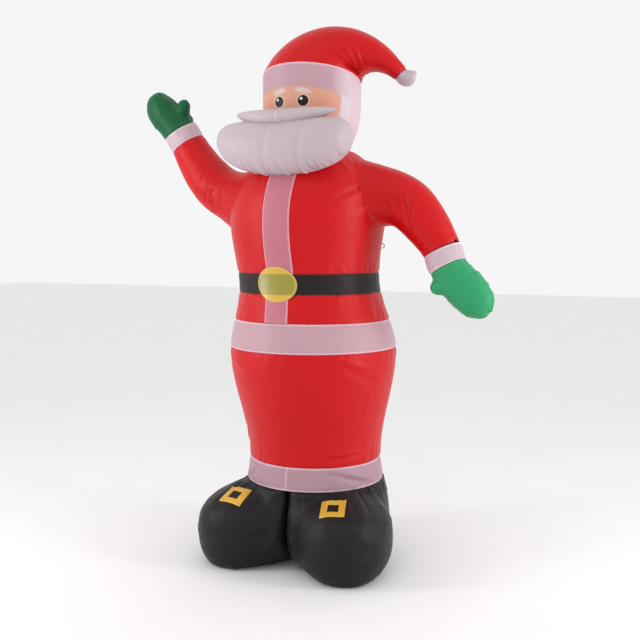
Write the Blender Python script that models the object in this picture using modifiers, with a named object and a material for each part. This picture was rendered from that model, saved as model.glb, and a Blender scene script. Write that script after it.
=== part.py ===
"""Inflatable Father Christmas: sewn fabric tubes and pads, held taut by air.

The figure stands on Z = 0 and faces -Y, with its own left hand at +X. Its form and pose are
shares of its height. Bands, strips, buckles, loops and seams have sizes of their own.
"""

import math

import bmesh
import bpy
from mathutils import Vector

# Overall height, from the soles to the top of the hat
HEIGHT = 2.40

# Air between two pieces that touch, and how a sewn edge rounds in
GAP = 0.0003
SEAM_DIP = 0.004
SEAM_ROUND = 0.018

# Bands round the body and the wrists
HEM_BAND_WIDTH = 0.099
HIP_BAND_WIDTH = 0.125
BELT_WIDTH = 0.089
CUFF_WIDTH = 0.076

# The white strip down the coat and the flat trims
STRIP_WIDTH = 0.126
STRIP_ASIDE = 0.012
LOWER_STRIP_WIDTH = 0.110
LOWER_STRIP_ASIDE = -0.010
STRIP_THICKNESS = 0.0025
BUCKLE_WIDTH = 0.190
BUCKLE_ASIDE = -0.006
BUCKLE_HEIGHT = 0.154
BUCKLE_THICKNESS = 0.004
BOOT_BUCKLE_SIDE = 0.104
BOOT_BUCKLE_BORDER = 0.029
BOOT_BUCKLE_THICKNESS = 0.003

# Loops for guy lines, one at each side of the coat
LOOP_RADIUS = 0.011
LOOP_CORD_RADIUS = 0.002
LOOP_LEVEL = 0.581 * HEIGHT
LOOP_BEHIND_SIDE = math.radians(25)
LOOP_SEGMENTS = 10

# Levels of the seams
HEM_LOW = 0.1436 * HEIGHT
HIP_BAND_LOW = 0.3911 * HEIGHT
BELT_LOW = 0.4940 * HEIGHT
NECK = 0.7618 * HEIGHT
HEM_HIGH = HEM_LOW + HEM_BAND_WIDTH
HIP_BAND_HIGH = HIP_BAND_LOW + HIP_BAND_WIDTH
BELT_HIGH = BELT_LOW + BELT_WIDTH

# Girth of the trunk: the level and the radius of each fullest or slimmest place
HEM = (0.1836 * HEIGHT, 0.1237 * HEIGHT)
HIPS = (0.3853 * HEIGHT, 0.1577 * HEIGHT)
WAIST = (0.5120 * HEIGHT, 0.1339 * HEIGHT)
CHEST = (0.6427 * HEIGHT, 0.1487 * HEIGHT)
HEM_FLARE = 0.0051 * HEIGHT
NECK_RADIUS = 0.0699 * HEIGHT
SHOULDER_ROUNDING = 0.7

# Sway: how far the figure's middle line stands aside at a level
SWAY = (
    (HEM[0], 0.0070 * HEIGHT),
    (HIPS[0], 0.0030 * HEIGHT),
    (0.592 * HEIGHT, -0.0095 * HEIGHT),
    (NECK, 0.0),
)

# Head and hat
HEAD_RADIUS = 0.0942 * HEIGHT
HEAD_FULL_LEVEL = 0.8535 * HEIGHT
HEAD_ROUNDING = 2.2
HAT_SEAM_LEVEL = 0.8991 * HEIGHT
HAT_SEAM_SLOPE = 0.19
HAT_LEAN = math.radians(12)
HAT_TURN = math.radians(134)
HAT_TIP_RADIUS = 0.0147 * HEIGHT
HAT_CREEP = (0.0012 * HEIGHT, 0.0158 * HEIGHT)
HAT_SLIMMING = (1.32, 0.9)
HAT_SECTIONS = 14
HAT_TIP_LENGTH = 0.0274 * HEIGHT
HAT_TIP_BEND = math.radians(30)

# Beard and moustache, wide pads whose sections stand upright across their length
BEARD_HALF_WIDTH = 0.1290 * HEIGHT
BEARD_HALF_HEIGHT = 0.0522 * HEIGHT
BEARD_HALF_DEPTH = 0.0573 * HEIGHT
BEARD_CENTRE = Vector((0, -0.1201, 0.7578)) * HEIGHT
BEARD_LIFT = 0.0115 * HEIGHT
BEARD_SECTIONS = 20
BEARD_SPAN = math.radians(84)
BEARD_ROUNDING = (0.62, 0.55)
BEARD_TOP_ROUNDING = 0.45
BEARD_FOLDS = 13
BEARD_FOLD_DEPTH = 0.0035 * HEIGHT
MOUSTACHE_HALF_LENGTH = 0.1014 * HEIGHT
MOUSTACHE_HALF_HEIGHT = 0.0149 * HEIGHT
MOUSTACHE_HALF_DEPTH = 0.0213 * HEIGHT
MOUSTACHE_CENTRE = Vector((0, -0.1394, 0.8105)) * HEIGHT
MOUSTACHE_SWEEP = 0.0274 * HEIGHT
MOUSTACHE_RISE = 0.0122 * HEIGHT
MOUSTACHE_SECTIONS = 14
MOUSTACHE_ROUNDING = (2.4, 0.7)
MOUSTACHE_PINCH = 0.10
MOUSTACHE_PINCH_REACH = 0.12

# Each arm's centre line from inside the shoulder to the fingertips, as shares of the height
RAISED_ARM = (
    (-0.0811, 0.0, 0.6569),
    (-0.1399, 0.0, 0.6700),
    (-0.1930, 0.0, 0.6915),
    (-0.2300, 0.0, 0.7220),
    (-0.2574, 0.0, 0.7552),
    (-0.2797, -0.004, 0.7917),
    (-0.3086, -0.015, 0.8411),
    (-0.3438, -0.033, 0.8897),
)
LOWERED_ARM = (
    (0.0811, 0.0, 0.6853),
    (0.1389, 0.0, 0.6800),
    (0.1960, 0.0, 0.6590),
    (0.2370, 0.0, 0.6195),
    (0.2660, 0.0, 0.5765),
    (0.2780, -0.002, 0.5430),
    (0.3050, -0.004, 0.5045),
    (0.3470, -0.004, 0.4600),
)
ARM_RADIUS_AT_SHOULDER = 0.0525 * HEIGHT
ARM_RADIUS_AT_WRIST = 0.0360 * HEIGHT
ARM_TAPER = 1.8
MITTEN_WIDTH_RADIUS = 0.0440 * HEIGHT
MITTEN_DEPTH_RADIUS = 0.0340 * HEIGHT
MITTEN_ROUNDING = 4.2
RAISED_MITTEN_LENGTH = 0.0950 * HEIGHT
LOWERED_MITTEN_LENGTH = 0.1095 * HEIGHT
THUMB_RADIUS = 0.0167 * HEIGHT
RAISED_THUMB_LENGTH = 0.0400 * HEIGHT
LOWERED_THUMB_LENGTH = 0.0330 * HEIGHT
THUMB_SETBACK = 1.3 * THUMB_RADIUS
THUMB_ROOT = 0.45 * MITTEN_WIDTH_RADIUS
RAISED_THUMB_AIM = (0.92, 0.40)
LOWERED_THUMB_AIM = (0.98, -0.10)
THUMB_FORWARD = 0.25

# Boots: an ankle under each half of the hem, and a long rounded toe that points outward
BOOT_TOP = HEM_LOW - GAP
BOOT_SPACING = 0.012
BOOT_MIDDLE = 0.42 * (HEM[1] + HEM_FLARE)
ANKLE_BULGE = 0.085
HEEL_ROUNDING = 1.5
INNER_ROUNDING = 1.0
TOE_SPLAY = math.radians(27)
TOE_CENTRE = Vector((0.0830, -0.0640)) * HEIGHT
TOE_HALF_LENGTH = 0.1285 * HEIGHT
TOE_HALF_WIDTH = 0.0880 * HEIGHT
TOE_FULL_LEVEL = 0.052 * HEIGHT
TOE_TOP_LEVEL = 0.150 * HEIGHT
TOE_ROUNDING = (4, 1.35)
SOLE_INSET = 0.033 * HEIGHT
BLEND = 12
INSTEP_BUCKLE = Vector((0.0667, 0.0208, 0.118)) * HEIGHT
INSTEP_SLANT = math.radians(28)

# Facets round each kind of piece
TRUNK_FACETS = 32
LIMB_FACETS = 20
BOOT_FACETS = 28
HAT_FACETS = 26
BEARD_FACETS = 22
BUCKLE_FACETS = 28
SMALL_FACETS = 14
LEVEL_STEP = 0.08
SHARP_ANGLE = math.radians(48)


def clear_scene():
    for item in list(bpy.data.objects):
        bpy.data.objects.remove(item, do_unlink=True)


def new_collection(name):
    group = bpy.data.collections.new(name)
    bpy.context.scene.collection.children.link(group)
    return group


def fabric(name, colour, roughness=0.42, metallic=0.0):
    material = bpy.data.materials.new(name)
    material.use_nodes = True
    shader = material.node_tree.nodes["Principled BSDF"]
    shader.inputs["Base Color"].default_value = (*colour, 1)
    shader.inputs["Roughness"].default_value = roughness
    shader.inputs["Metallic"].default_value = metallic
    return material


clear_scene()
FIGURE = new_collection("inflatable_father_christmas")
CUTTERS = new_collection("cutters")
ROOT = bpy.data.objects.new("figure_frame", None)
FIGURE.objects.link(ROOT)

RED = fabric("red_fabric", (0.58, 0.008, 0.015))
WHITE = fabric("white_fabric", (0.62, 0.50, 0.53))
BLACK = fabric("black_fabric", (0.012, 0.011, 0.011))
BELT_BLACK = fabric("belt_fabric", (0.025, 0.014, 0.014))
GREEN = fabric("green_fabric", (0.012, 0.22, 0.085))
GOLD = fabric("gold_film", (0.60, 0.38, 0.05), roughness=0.3, metallic=0.2)
BOOT_GOLD = fabric("boot_gold", (0.58, 0.36, 0.04), roughness=0.35, metallic=0.2)


def ease(share):
    return share * share * (3 - 2 * share)


def mix(a, b, share):
    return a + (b - a) * share


def turn(count):
    """Equal angles once round, starting at +X."""
    return [2 * math.pi * i / count for i in range(count)]


def place(name, mesh, material, group=FIGURE):
    mesh.shade_smooth()
    mesh.set_sharp_from_angle(angle=SHARP_ANGLE)
    mesh.materials.append(material)
    piece = bpy.data.objects.new(name, mesh)
    group.objects.link(piece)
    piece.parent = ROOT
    return piece


def loft(name, rings, material, group=FIGURE):
    """A closed skin through rings of equally many points, capped flat at both ends."""
    bm = bmesh.new()
    loops = [[bm.verts.new(point) for point in ring] for ring in rings]
    for lower, upper in zip(loops, loops[1:]):
        for i, corner in enumerate(lower):
            j = (i + 1) % len(lower)
            bm.faces.new((corner, lower[j], upper[j], upper[i]))
    bm.faces.new(reversed(loops[0]))
    bm.faces.new(loops[-1])
    bmesh.ops.recalc_face_normals(bm, faces=bm.faces)
    mesh = bpy.data.meshes.new(name)
    bm.to_mesh(mesh)
    bm.free()
    return place(name, mesh, material, group)


def turned_form(name, profile, material, group=FIGURE):
    """A solid of revolution about Z: the profile lists (radius, level) from the bottom up."""
    corners = [(0, profile[0][1]), *profile, (0, profile[-1][1])]
    outline = bpy.data.meshes.new(f"{name}_profile")
    points = [(radius, 0, level) for radius, level in reversed(corners)]
    outline.from_pydata(points, [(i, i + 1) for i in range(len(points) - 1)], [])
    lathe = bpy.data.objects.new(f"{name}_profile", outline)
    bpy.context.scene.collection.objects.link(lathe)
    screw = lathe.modifiers.new("turn about Z", "SCREW")
    screw.steps = TRUNK_FACETS
    screw.render_steps = TRUNK_FACETS
    screw.use_merge_vertices = True
    screw.merge_threshold = 0.0001
    bpy.context.view_layer.update()
    graph = bpy.context.evaluated_depsgraph_get()
    mesh = bpy.data.meshes.new_from_object(lathe.evaluated_get(graph))
    mesh.name = name
    bpy.data.objects.remove(lathe, do_unlink=True)
    return place(name, mesh, material, group)


def as_cutter(piece):
    piece.hide_render = True
    piece.display_type = "WIRE"
    return piece


def swollen(piece, amount):
    """A cutter in the form of a piece grown by an even amount all over."""
    bm = bmesh.new()
    bm.from_mesh(piece.data)
    bm.normal_update()
    shifts = [vert.normal * vert.calc_shell_factor() * amount for vert in bm.verts]
    for vert, shift in zip(bm.verts, shifts):
        vert.co += shift
    name = f"{piece.name}_grown_{round(amount * 1e5)}"
    mesh = bpy.data.meshes.new(name)
    bm.to_mesh(mesh)
    bm.free()
    return as_cutter(place(name, mesh, piece.data.materials[0], CUTTERS))


def combine(piece, other, operation):
    step = piece.modifiers.new(f"{operation.lower()} {other.name}", "BOOLEAN")
    step.operation = operation
    step.solver = "EXACT"
    step.object = other


def lay_on(flat, base, lift, thickness):
    """Keeps of a block only the layer that lies on a piece's skin."""
    combine(flat, swollen(base, lift + thickness), "INTERSECT")
    combine(flat, swollen(base, lift), "DIFFERENCE")


def girth(level):
    """Radius of the trunk at a level, from the hem up to the neck."""
    if level < HEM[0]:
        return HEM[1] + HEM_FLARE * (HEM[0] - level) / (HEM[0] - HEM_LOW)
    if level > CHEST[0]:
        share = (level - CHEST[0]) / (NECK - CHEST[0])
        dome = max(0.0, 1 - share * share) ** SHOULDER_ROUNDING
        return mix(NECK_RADIUS, CHEST[1], dome)
    for (low, radius_low), (high, radius_high) in ((HEM, HIPS), (HIPS, WAIST), (WAIST, CHEST)):
        if level <= high:
            break
    return mix(radius_low, radius_high, ease((level - low) / (high - low)))


def levels_between(low, high):
    """Levels of the rings of one panel, close together where its sewn edges round in."""
    inner_low = low + SEAM_ROUND
    inner_high = high - SEAM_ROUND
    steps = max(1, round((inner_high - inner_low) / LEVEL_STEP))
    middle = [mix(inner_low, inner_high, i / steps) for i in range(steps + 1)]
    return [low, *middle, high]


def trunk_panel(name, low, high, material):
    """One panel of the trunk between two seams, drawn in a little at each seam."""
    levels = levels_between(low + GAP / 2, high - GAP / 2)
    dips = [SEAM_DIP, *[0] * (len(levels) - 2), SEAM_DIP]
    profile = [(girth(level) - dip, level) for level, dip in zip(levels, dips)]
    return turned_form(name, profile, material)


def block(name, centre, size):
    bpy.ops.mesh.primitive_cube_add(size=1, location=centre)
    cube = bpy.context.object
    cube.name = name
    cube.scale = size
    return cube


def settle(piece, name, material):
    """Applies a primitive's place and size, and files it with the figure's pieces."""
    mesh = piece.data
    mesh.transform(piece.matrix_basis)
    mesh.name = name
    bpy.data.objects.remove(piece, do_unlink=True)
    return place(name, mesh, material)


def front_strip(name, low, high, aside, width, base):
    middle = (low + high) / 2
    reach = CHEST[1] + STRIP_WIDTH
    cube = block(name, (aside, -reach / 2, middle), (width, reach, high - low - GAP))
    strip = settle(cube, name, WHITE)
    lay_on(strip, base, GAP, STRIP_THICKNESS)
    return strip


def trunk():
    trunk_panel("robe_hem_band", HEM_LOW, HEM_HIGH, WHITE)
    trunk_panel("robe", HEM_HIGH, HIP_BAND_LOW, RED)
    trunk_panel("coat_hem_band", HIP_BAND_LOW, HIP_BAND_HIGH, WHITE)
    skirt = trunk_panel("coat_skirt", HIP_BAND_HIGH, BELT_LOW, RED)
    trunk_panel("belt", BELT_LOW, BELT_HIGH, BELT_BLACK)
    coat = trunk_panel("coat_upper", BELT_HIGH, NECK, RED)
    strip_top = BEARD_CENTRE.z - BEARD_HALF_HEIGHT / 2
    upper = (STRIP_ASIDE, STRIP_WIDTH)
    lower = (LOWER_STRIP_ASIDE, LOWER_STRIP_WIDTH)
    front_strip("front_strip_upper", BELT_HIGH, strip_top, *upper, coat)
    front_strip("front_strip_lower", HIP_BAND_HIGH, BELT_LOW, *lower, skirt)
    return coat


def belt_buckle():
    """An oval of film that lies over the belt and the ends of the two strips."""
    low = BELT_LOW - BUCKLE_HEIGHT
    high = BELT_HIGH + BUCKLE_HEIGHT
    profile = [(girth(level), level) for level in levels_between(low, high)]
    trunk_form = as_cutter(turned_form("waist_form", profile, RED, CUTTERS))
    bpy.ops.mesh.primitive_cylinder_add(vertices=BUCKLE_FACETS, radius=0.5, depth=1)
    disc = bpy.context.object
    disc.rotation_euler.x = math.pi / 2
    disc.scale = (BUCKLE_WIDTH, BUCKLE_HEIGHT, CHEST[1])
    disc.location = (BUCKLE_ASIDE, -CHEST[1], (BELT_LOW + BELT_HIGH) / 2)
    bpy.context.view_layer.update()
    buckle = settle(disc, "belt_buckle", GOLD)
    lay_on(buckle, trunk_form, STRIP_THICKNESS + 2 * GAP, BUCKLE_THICKNESS)


def head_radius(level):
    share = min(1.0, (level - NECK) / (HEAD_FULL_LEVEL - NECK))
    return mix(NECK_RADIUS, HEAD_RADIUS, 1 - (1 - share) ** HEAD_ROUNDING)


def hat_seam(y):
    """Level of the seam between the hat and the head: higher at the forehead."""
    return HAT_SEAM_LEVEL - HAT_SEAM_SLOPE * y


def head():
    """The head's tube from the neck up to the slanting hat seam."""
    low = NECK + GAP
    rings = []
    for share in (0, 0.07, 0.2, 0.36, 0.52, 0.68, 0.84, 0.95, 1):
        ring = []
        dip = SEAM_DIP * (share in (0, 1))
        for angle in turn(TRUNK_FACETS):
            high = hat_seam((HEAD_RADIUS - dip) * math.sin(angle))
            level = mix(low, high, share)
            radius = head_radius(level) - dip
            ring.append((radius * math.cos(angle), radius * math.sin(angle), level))
        rings.append(ring)
    return loft("head", rings, WHITE)


def hat():
    """Sections that fan out round the fold above the ear, from the seam to the tip."""
    across = Vector((math.cos(HAT_LEAN), math.sin(HAT_LEAN), 0))
    aside = Vector((-math.sin(HAT_LEAN), math.cos(HAT_LEAN), 0))
    up = Vector((0, 0, 1))
    slope_across = -HAT_SEAM_SLOPE * across.y
    slope_aside = -HAT_SEAM_SLOPE * aside.y
    inner = across * HEAD_RADIUS + up * (HAT_SEAM_LEVEL + HEAD_RADIUS * slope_across + GAP)
    rings = []
    for k in range(HAT_SECTIONS + 1):
        share = k / HAT_SECTIONS
        angle = math.pi + math.atan(slope_across) - HAT_TURN * share
        outward = across * math.cos(angle) + up * math.sin(angle)
        forward = across * math.sin(angle) - up * math.cos(angle)
        half, breadth = (
            mix(HAT_TIP_RADIUS, HEAD_RADIUS, (1 - share) ** power) for power in HAT_SLIMMING
        )
        side = aside + up * slope_aside * (1 - share) ** 2
        dip = SEAM_DIP * (share in (0, 1))
        centre = inner + outward * half
        rings.append(
            [
                centre - outward * (half - dip) * math.cos(a) + side * (breadth - dip) * math.sin(a)
                for a in turn(HAT_FACETS)
            ]
        )
        inner = inner + forward * mix(*HAT_CREEP, share * share)
    loft("hat_crown", rings, RED)
    hat_tip(centre, outward, forward, aside)


def hat_tip(centre, outward, forward, aside):
    """A small soft block that goes on from the last section of the hat."""
    rings = []
    for share, size in ((0, 0.86), (0.12, 1), (0.5, 1.08), (0.85, 1.02), (0.97, 0.8), (1, 0.45)):
        bend = HAT_TIP_BEND * share
        along = forward * math.cos(bend) + outward * math.sin(bend)
        over = outward * math.cos(bend) - forward * math.sin(bend)
        middle = centre + along * (GAP + HAT_TIP_LENGTH * share)
        radius = HAT_TIP_RADIUS * size
        rings.append(
            [
                middle - over * radius * math.cos(a) + aside * radius * math.sin(a)
                for a in turn(LIMB_FACETS)
            ]
        )
    loft("hat_tip", rings, WHITE)


def pad_section(centre, half_depth, half_height, count):
    """One upright section of a pad that is stitched to the face along its back."""
    return [
        centre + Vector((0, half_depth * math.cos(a), half_height * math.sin(a)))
        for a in turn(count)
    ]


def beard():
    rings = []
    for k in range(BEARD_SECTIONS + 1):
        turned = mix(-BEARD_SPAN, BEARD_SPAN, k / BEARD_SECTIONS)
        x = BEARD_HALF_WIDTH * math.sin(turned)
        full = math.cos(turned)
        fold = BEARD_FOLD_DEPTH * math.cos(BEARD_FOLDS * turned) * full
        half_height = BEARD_HALF_HEIGHT * full ** BEARD_ROUNDING[0] + fold / 2
        half_depth = BEARD_HALF_DEPTH * full ** BEARD_ROUNDING[1] + fold
        centre = BEARD_CENTRE + Vector((x, 0, BEARD_LIFT * math.sin(turned) ** 2))
        section = pad_section(centre, half_depth, half_height, BEARD_FACETS)
        fuller = full ** (BEARD_TOP_ROUNDING - BEARD_ROUNDING[0])
        for point in section:
            point.z += max(0.0, point.z - centre.z) * (fuller - 1)
        rings.append(section)
    return loft("beard", rings, WHITE)


def moustache():
    rings = []
    for k in range(MOUSTACHE_SECTIONS + 1):
        share = mix(-0.985, 0.985, k / MOUSTACHE_SECTIONS)
        full = (1 - abs(share) ** MOUSTACHE_ROUNDING[0]) ** MOUSTACHE_ROUNDING[1]
        waist = 1 - MOUSTACHE_PINCH * math.exp(-((share / MOUSTACHE_PINCH_REACH) ** 2))
        offset = Vector((0, MOUSTACHE_SWEEP, MOUSTACHE_RISE)) * share * share
        centre = MOUSTACHE_CENTRE + offset + Vector((MOUSTACHE_HALF_LENGTH * share, 0, 0))
        half_depth = MOUSTACHE_HALF_DEPTH * full
        half_height = MOUSTACHE_HALF_HEIGHT * full * waist
        rings.append(pad_section(centre, half_depth, half_height, SMALL_FACETS))
    return loft("moustache", rings, WHITE)


def face_pads(coat, skull):
    """The beard rests on the coat and the head, and the moustache on the head and the beard."""
    beard_pad = beard()
    moustache_pad = moustache()
    combine(moustache_pad, swollen(beard_pad, GAP), "DIFFERENCE")
    skull_form = swollen(skull, GAP)
    combine(moustache_pad, skull_form, "DIFFERENCE")
    combine(beard_pad, skull_form, "DIFFERENCE")
    combine(beard_pad, swollen(coat, 2 * GAP + STRIP_THICKNESS), "DIFFERENCE")


def smooth_path(points, steps):
    """Points on a smooth curve through the given ones, a few to each stretch."""
    ends = [points[0] * 2 - points[1], *points, points[-1] * 2 - points[-2]]
    path = []
    for a, b, c, d in zip(ends, ends[1:], ends[2:], ends[3:]):
        for i in range(steps):
            t = i / steps
            bend = (2 * a - 5 * b + 4 * c - d) * t * t + (3 * b - a - 3 * c + d) * t**3
            path.append((2 * b + (c - a) * t + bend) / 2)
    return [*path, points[-1]]


def along_path(path, distance):
    """The point and the direction at a distance along a path."""
    for here, there in zip(path, path[1:]):
        length = (there - here).length
        if distance <= length:
            break
        distance -= length
    direction = (there - here) / length
    return here + direction * distance, direction


def limb_ring(path, distance, width_radius, depth_radius):
    centre, direction = along_path(path, distance)
    depth = (Vector((0, 1, 0)) - direction * direction.y).normalized()
    width = depth.cross(direction)
    return [
        centre + width * width_radius * math.cos(a) + depth * depth_radius * math.sin(a)
        for a in turn(LIMB_FACETS)
    ]


def tube(name, path, start, end, radii, material):
    """A stretch of an arm between two seams, with its radius eased from one to the other."""
    rings = []
    count = max(3, round((end - start) / 0.055))
    places = [0, SEAM_ROUND / (end - start), *[k / count for k in range(1, count)]]
    places += [1 - SEAM_ROUND / (end - start), 1]
    for share in sorted(places):
        radius = mix(*radii, share**ARM_TAPER) - SEAM_DIP * (share in (0, 1))
        rings.append(limb_ring(path, mix(start, end, share), radius, radius))
    return loft(name, rings, material)


def mitten(name, path, start, length, thumb_length, thumb_aim):
    """A rounded bag with a thumb on its inner side, made one with it."""
    rings = []
    for share in (0, 0.09, 0.25, 0.42, 0.6, 0.76, 0.88, 0.95, 0.99):
        round_end = (1 - share**MITTEN_ROUNDING) ** 0.5
        swell = ease(min(1.0, share / 0.5))
        width = mix(ARM_RADIUS_AT_WRIST, MITTEN_WIDTH_RADIUS, swell) * round_end
        depth = mix(ARM_RADIUS_AT_WRIST, MITTEN_DEPTH_RADIUS, swell) * round_end
        dip = SEAM_DIP * (share == 0)
        rings.append(limb_ring(path, start + length * share, width - dip, depth - dip))
    hand = loft(name, rings, GREEN)
    base, direction = along_path(path, start + THUMB_SETBACK)
    side = Vector((0, 1, 0)).cross(direction).normalized()
    side = (side + Vector((0, -THUMB_FORWARD, 0))).normalized()
    root = base + side * THUMB_ROOT
    aim = (side * thumb_aim[0] + direction * thumb_aim[1]).normalized()
    over = aim.cross(side).normalized()
    across = over.cross(aim)
    rings = []
    for share in (0, 0.2, 0.45, 0.68, 0.85, 0.95, 0.995):
        radius = THUMB_RADIUS * (1 - share**3) ** 0.5 * mix(1.15, 1, share)
        middle = root + aim * thumb_length * share
        rings.append(
            [
                middle + across * radius * math.cos(a) + over * radius * math.sin(a)
                for a in turn(SMALL_FACETS)
            ]
        )
    thumb = as_cutter(loft(f"{name}_thumb_form", rings, GREEN, CUTTERS))
    combine(hand, thumb, "UNION")


def arm(side, shares, mitten_length, thumb, coat):
    path = smooth_path([Vector(point) * HEIGHT for point in shares], 5)
    length = sum((b - a).length for a, b in zip(path, path[1:]))
    mitten_start = length - mitten_length
    cuff_start = mitten_start - CUFF_WIDTH
    radii = (ARM_RADIUS_AT_SHOULDER, ARM_RADIUS_AT_WRIST)
    sleeve = tube(f"sleeve_{side}", path, 0, cuff_start, radii, RED)
    combine(sleeve, swollen(coat, GAP), "DIFFERENCE")
    wrist = (ARM_RADIUS_AT_WRIST, ARM_RADIUS_AT_WRIST)
    tube(f"cuff_{side}", path, cuff_start + GAP, mitten_start - GAP, wrist, WHITE)
    mitten(f"mitten_{side}", path, mitten_start, mitten_length, *thumb)


def toe_size(level):
    """The toe's size at a level, as a share of its fullest: it slopes away above the instep."""
    rise = max(0.0, level - TOE_FULL_LEVEL) / (TOE_TOP_LEVEL - TOE_FULL_LEVEL)
    return (1 - rise ** TOE_ROUNDING[0]) ** TOE_ROUNDING[1]


def sole_inset(level):
    """How far the boot rounds in below its fullest level."""
    drop = max(0.0, 1 - level / TOE_FULL_LEVEL)
    return SOLE_INSET * (1 - math.sqrt(1 - drop * drop))


def reach_of_ankle(centre, ray, level):
    """Distance from the boot's middle to the round of the ankle, which carries on the hem."""
    bulge = 1 + ANKLE_BULGE * math.sin(math.pi * level / BOOT_TOP)
    radius = (HEM[1] + HEM_FLARE - SEAM_DIP) * bulge - HEEL_ROUNDING * sole_inset(level)
    dot = centre.dot(ray)
    return -dot + math.sqrt(dot * dot + radius * radius - centre.dot(centre))


def reach_of_toe(centre, ray, level):
    """Distance from the boot's middle to the far side of the toe, or nothing where it misses."""
    forward = Vector((math.sin(TOE_SPLAY), -math.cos(TOE_SPLAY)))
    sideways = Vector((math.cos(TOE_SPLAY), math.sin(TOE_SPLAY)))
    size = toe_size(level)
    length = TOE_HALF_LENGTH * size - sole_inset(level)
    width = TOE_HALF_WIDTH * size - sole_inset(level)
    start = centre - TOE_CENTRE
    start = Vector((start.dot(forward) / length, start.dot(sideways) / width))
    step = Vector((ray.dot(forward) / length, ray.dot(sideways) / width))
    dot = start.dot(step)
    inside = dot * dot - step.dot(step) * (start.dot(start) - 1)
    if inside < 0:
        return 0.0
    return max(0.0, (-dot + math.sqrt(inside)) / step.dot(step))


def boot_outline(level):
    """The left boot's outline at a level, seen from above: the larger of ankle and toe."""
    centre = Vector((BOOT_MIDDLE, 0))
    ring = []
    for angle in turn(BOOT_FACETS):
        ray = Vector((math.cos(angle), math.sin(angle)))
        ankle = reach_of_ankle(centre, ray, level)
        toe = reach_of_toe(centre, ray, level)
        outer = (ankle**BLEND + toe**BLEND) ** (1 / BLEND)
        apart = BOOT_SPACING / 2 + INNER_ROUNDING * sole_inset(level)
        middle = (centre.x - apart) / max(-ray.x, 1e-6)
        ring.append(centre + ray * (outer**-BLEND + middle**-BLEND) ** (-1 / BLEND))
    return ring


def boot_levels():
    lower = [0, 0.06, 0.22, 0.5]
    upper = [0, 0.25, 0.45, 0.62, 0.76, 0.88, 0.96, 1]
    return [TOE_FULL_LEVEL * s for s in lower] + [mix(TOE_FULL_LEVEL, BOOT_TOP, s) for s in upper]


def boot(side, mirror):
    rings = [
        [Vector((mirror * point.x, point.y, level)) for point in boot_outline(level)]
        for level in boot_levels()
    ]
    piece = loft(f"boot_{side}", rings, BLACK)
    boot_buckle(side, mirror, piece)


def boot_buckle(side, mirror, base):
    """A square frame of film on the instep, turned with the toe."""
    forward = Vector((math.sin(TOE_SPLAY), -math.cos(TOE_SPLAY)))
    inward = Vector((-math.cos(TOE_SPLAY), -math.sin(TOE_SPLAY)))
    spot = TOE_CENTRE + forward * INSTEP_BUCKLE.x + inward * INSTEP_BUCKLE.y
    centre = (mirror * spot.x, spot.y, INSTEP_BUCKLE.z)
    name = f"boot_buckle_{side}"
    hole_side = BOOT_BUCKLE_SIDE - 2 * BOOT_BUCKLE_BORDER
    frame, hole = (
        settle(turned_block(centre, (wide, wide, deep), mirror), label, BOOT_GOLD)
        for label, wide, deep in (
            (name, BOOT_BUCKLE_SIDE, BOOT_BUCKLE_SIDE),
            (f"{name}_hole", hole_side, 2 * BOOT_BUCKLE_SIDE),
        )
    )
    FIGURE.objects.unlink(hole)
    CUTTERS.objects.link(as_cutter(hole))
    combine(frame, hole, "DIFFERENCE")
    lay_on(frame, base, GAP, BOOT_BUCKLE_THICKNESS)


def turned_block(centre, size, mirror):
    """A block that is slanted with the instep and turned with the toe."""
    cube = block("instep_block", centre, size)
    cube.rotation_euler = (INSTEP_SLANT, 0, mirror * TOE_SPLAY)
    bpy.context.view_layer.update()
    return cube


def tether_loop(side, mirror):
    """A small cord loop whose two ends are sewn to the coat, behind the side seam."""
    outward = Vector((mirror * math.cos(LOOP_BEHIND_SIDE), math.sin(LOOP_BEHIND_SIDE), 0))
    start = outward * (girth(LOOP_LEVEL) + GAP + LOOP_CORD_RADIUS)
    curve = bpy.data.curves.new(f"tether_loop_{side}", "CURVE")
    curve.dimensions = "3D"
    curve.bevel_depth = LOOP_CORD_RADIUS
    curve.bevel_resolution = 1
    curve.use_fill_caps = True
    spline = curve.splines.new("POLY")
    spline.points.add(LOOP_SEGMENTS)
    for k, point in enumerate(spline.points):
        angle = math.pi * k / LOOP_SEGMENTS
        lift = Vector((0, 0, LOOP_RADIUS * math.cos(angle)))
        place_at = start + lift + outward * LOOP_RADIUS * math.sin(angle)
        point.co = (*(place_at + Vector((0, 0, LOOP_LEVEL))), 1)
    curve.materials.append(RED)
    loop = bpy.data.objects.new(f"tether_loop_{side}", curve)
    FIGURE.objects.link(loop)
    loop.parent = ROOT


def sway(level):
    """How far the middle line stands aside at a level, eased from one place to the next."""
    if level <= SWAY[0][0]:
        return SWAY[0][1]
    for (low, aside_low), (high, aside_high) in zip(SWAY, SWAY[1:]):
        if level <= high:
            return mix(aside_low, aside_high, ease((level - low) / (high - low)))
    return SWAY[-1][1]


def lean_the_figure():
    """Sways every piece and cutter together, so that seams and fits stay as they are."""
    for item in [*FIGURE.objects, *CUTTERS.objects]:
        if item.type == "MESH":
            for vert in item.data.vertices:
                vert.co.x += sway(vert.co.z)
        elif item.type == "CURVE":
            for point in item.data.splines[0].points:
                point.co.x += sway(point.co.z)


def centre_over_origin():
    """Moves the frame so that the figure's box stands centred over the origin."""
    bpy.context.view_layer.update()
    graph = bpy.context.evaluated_depsgraph_get()
    points = [
        item.matrix_world @ vert.co
        for item in FIGURE.objects
        if item.type != "EMPTY"
        for vert in item.evaluated_get(graph).to_mesh().vertices
    ]
    for axis in (0, 1):
        values = [point[axis] for point in points]
        ROOT.location[axis] = -(min(values) + max(values)) / 2


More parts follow.
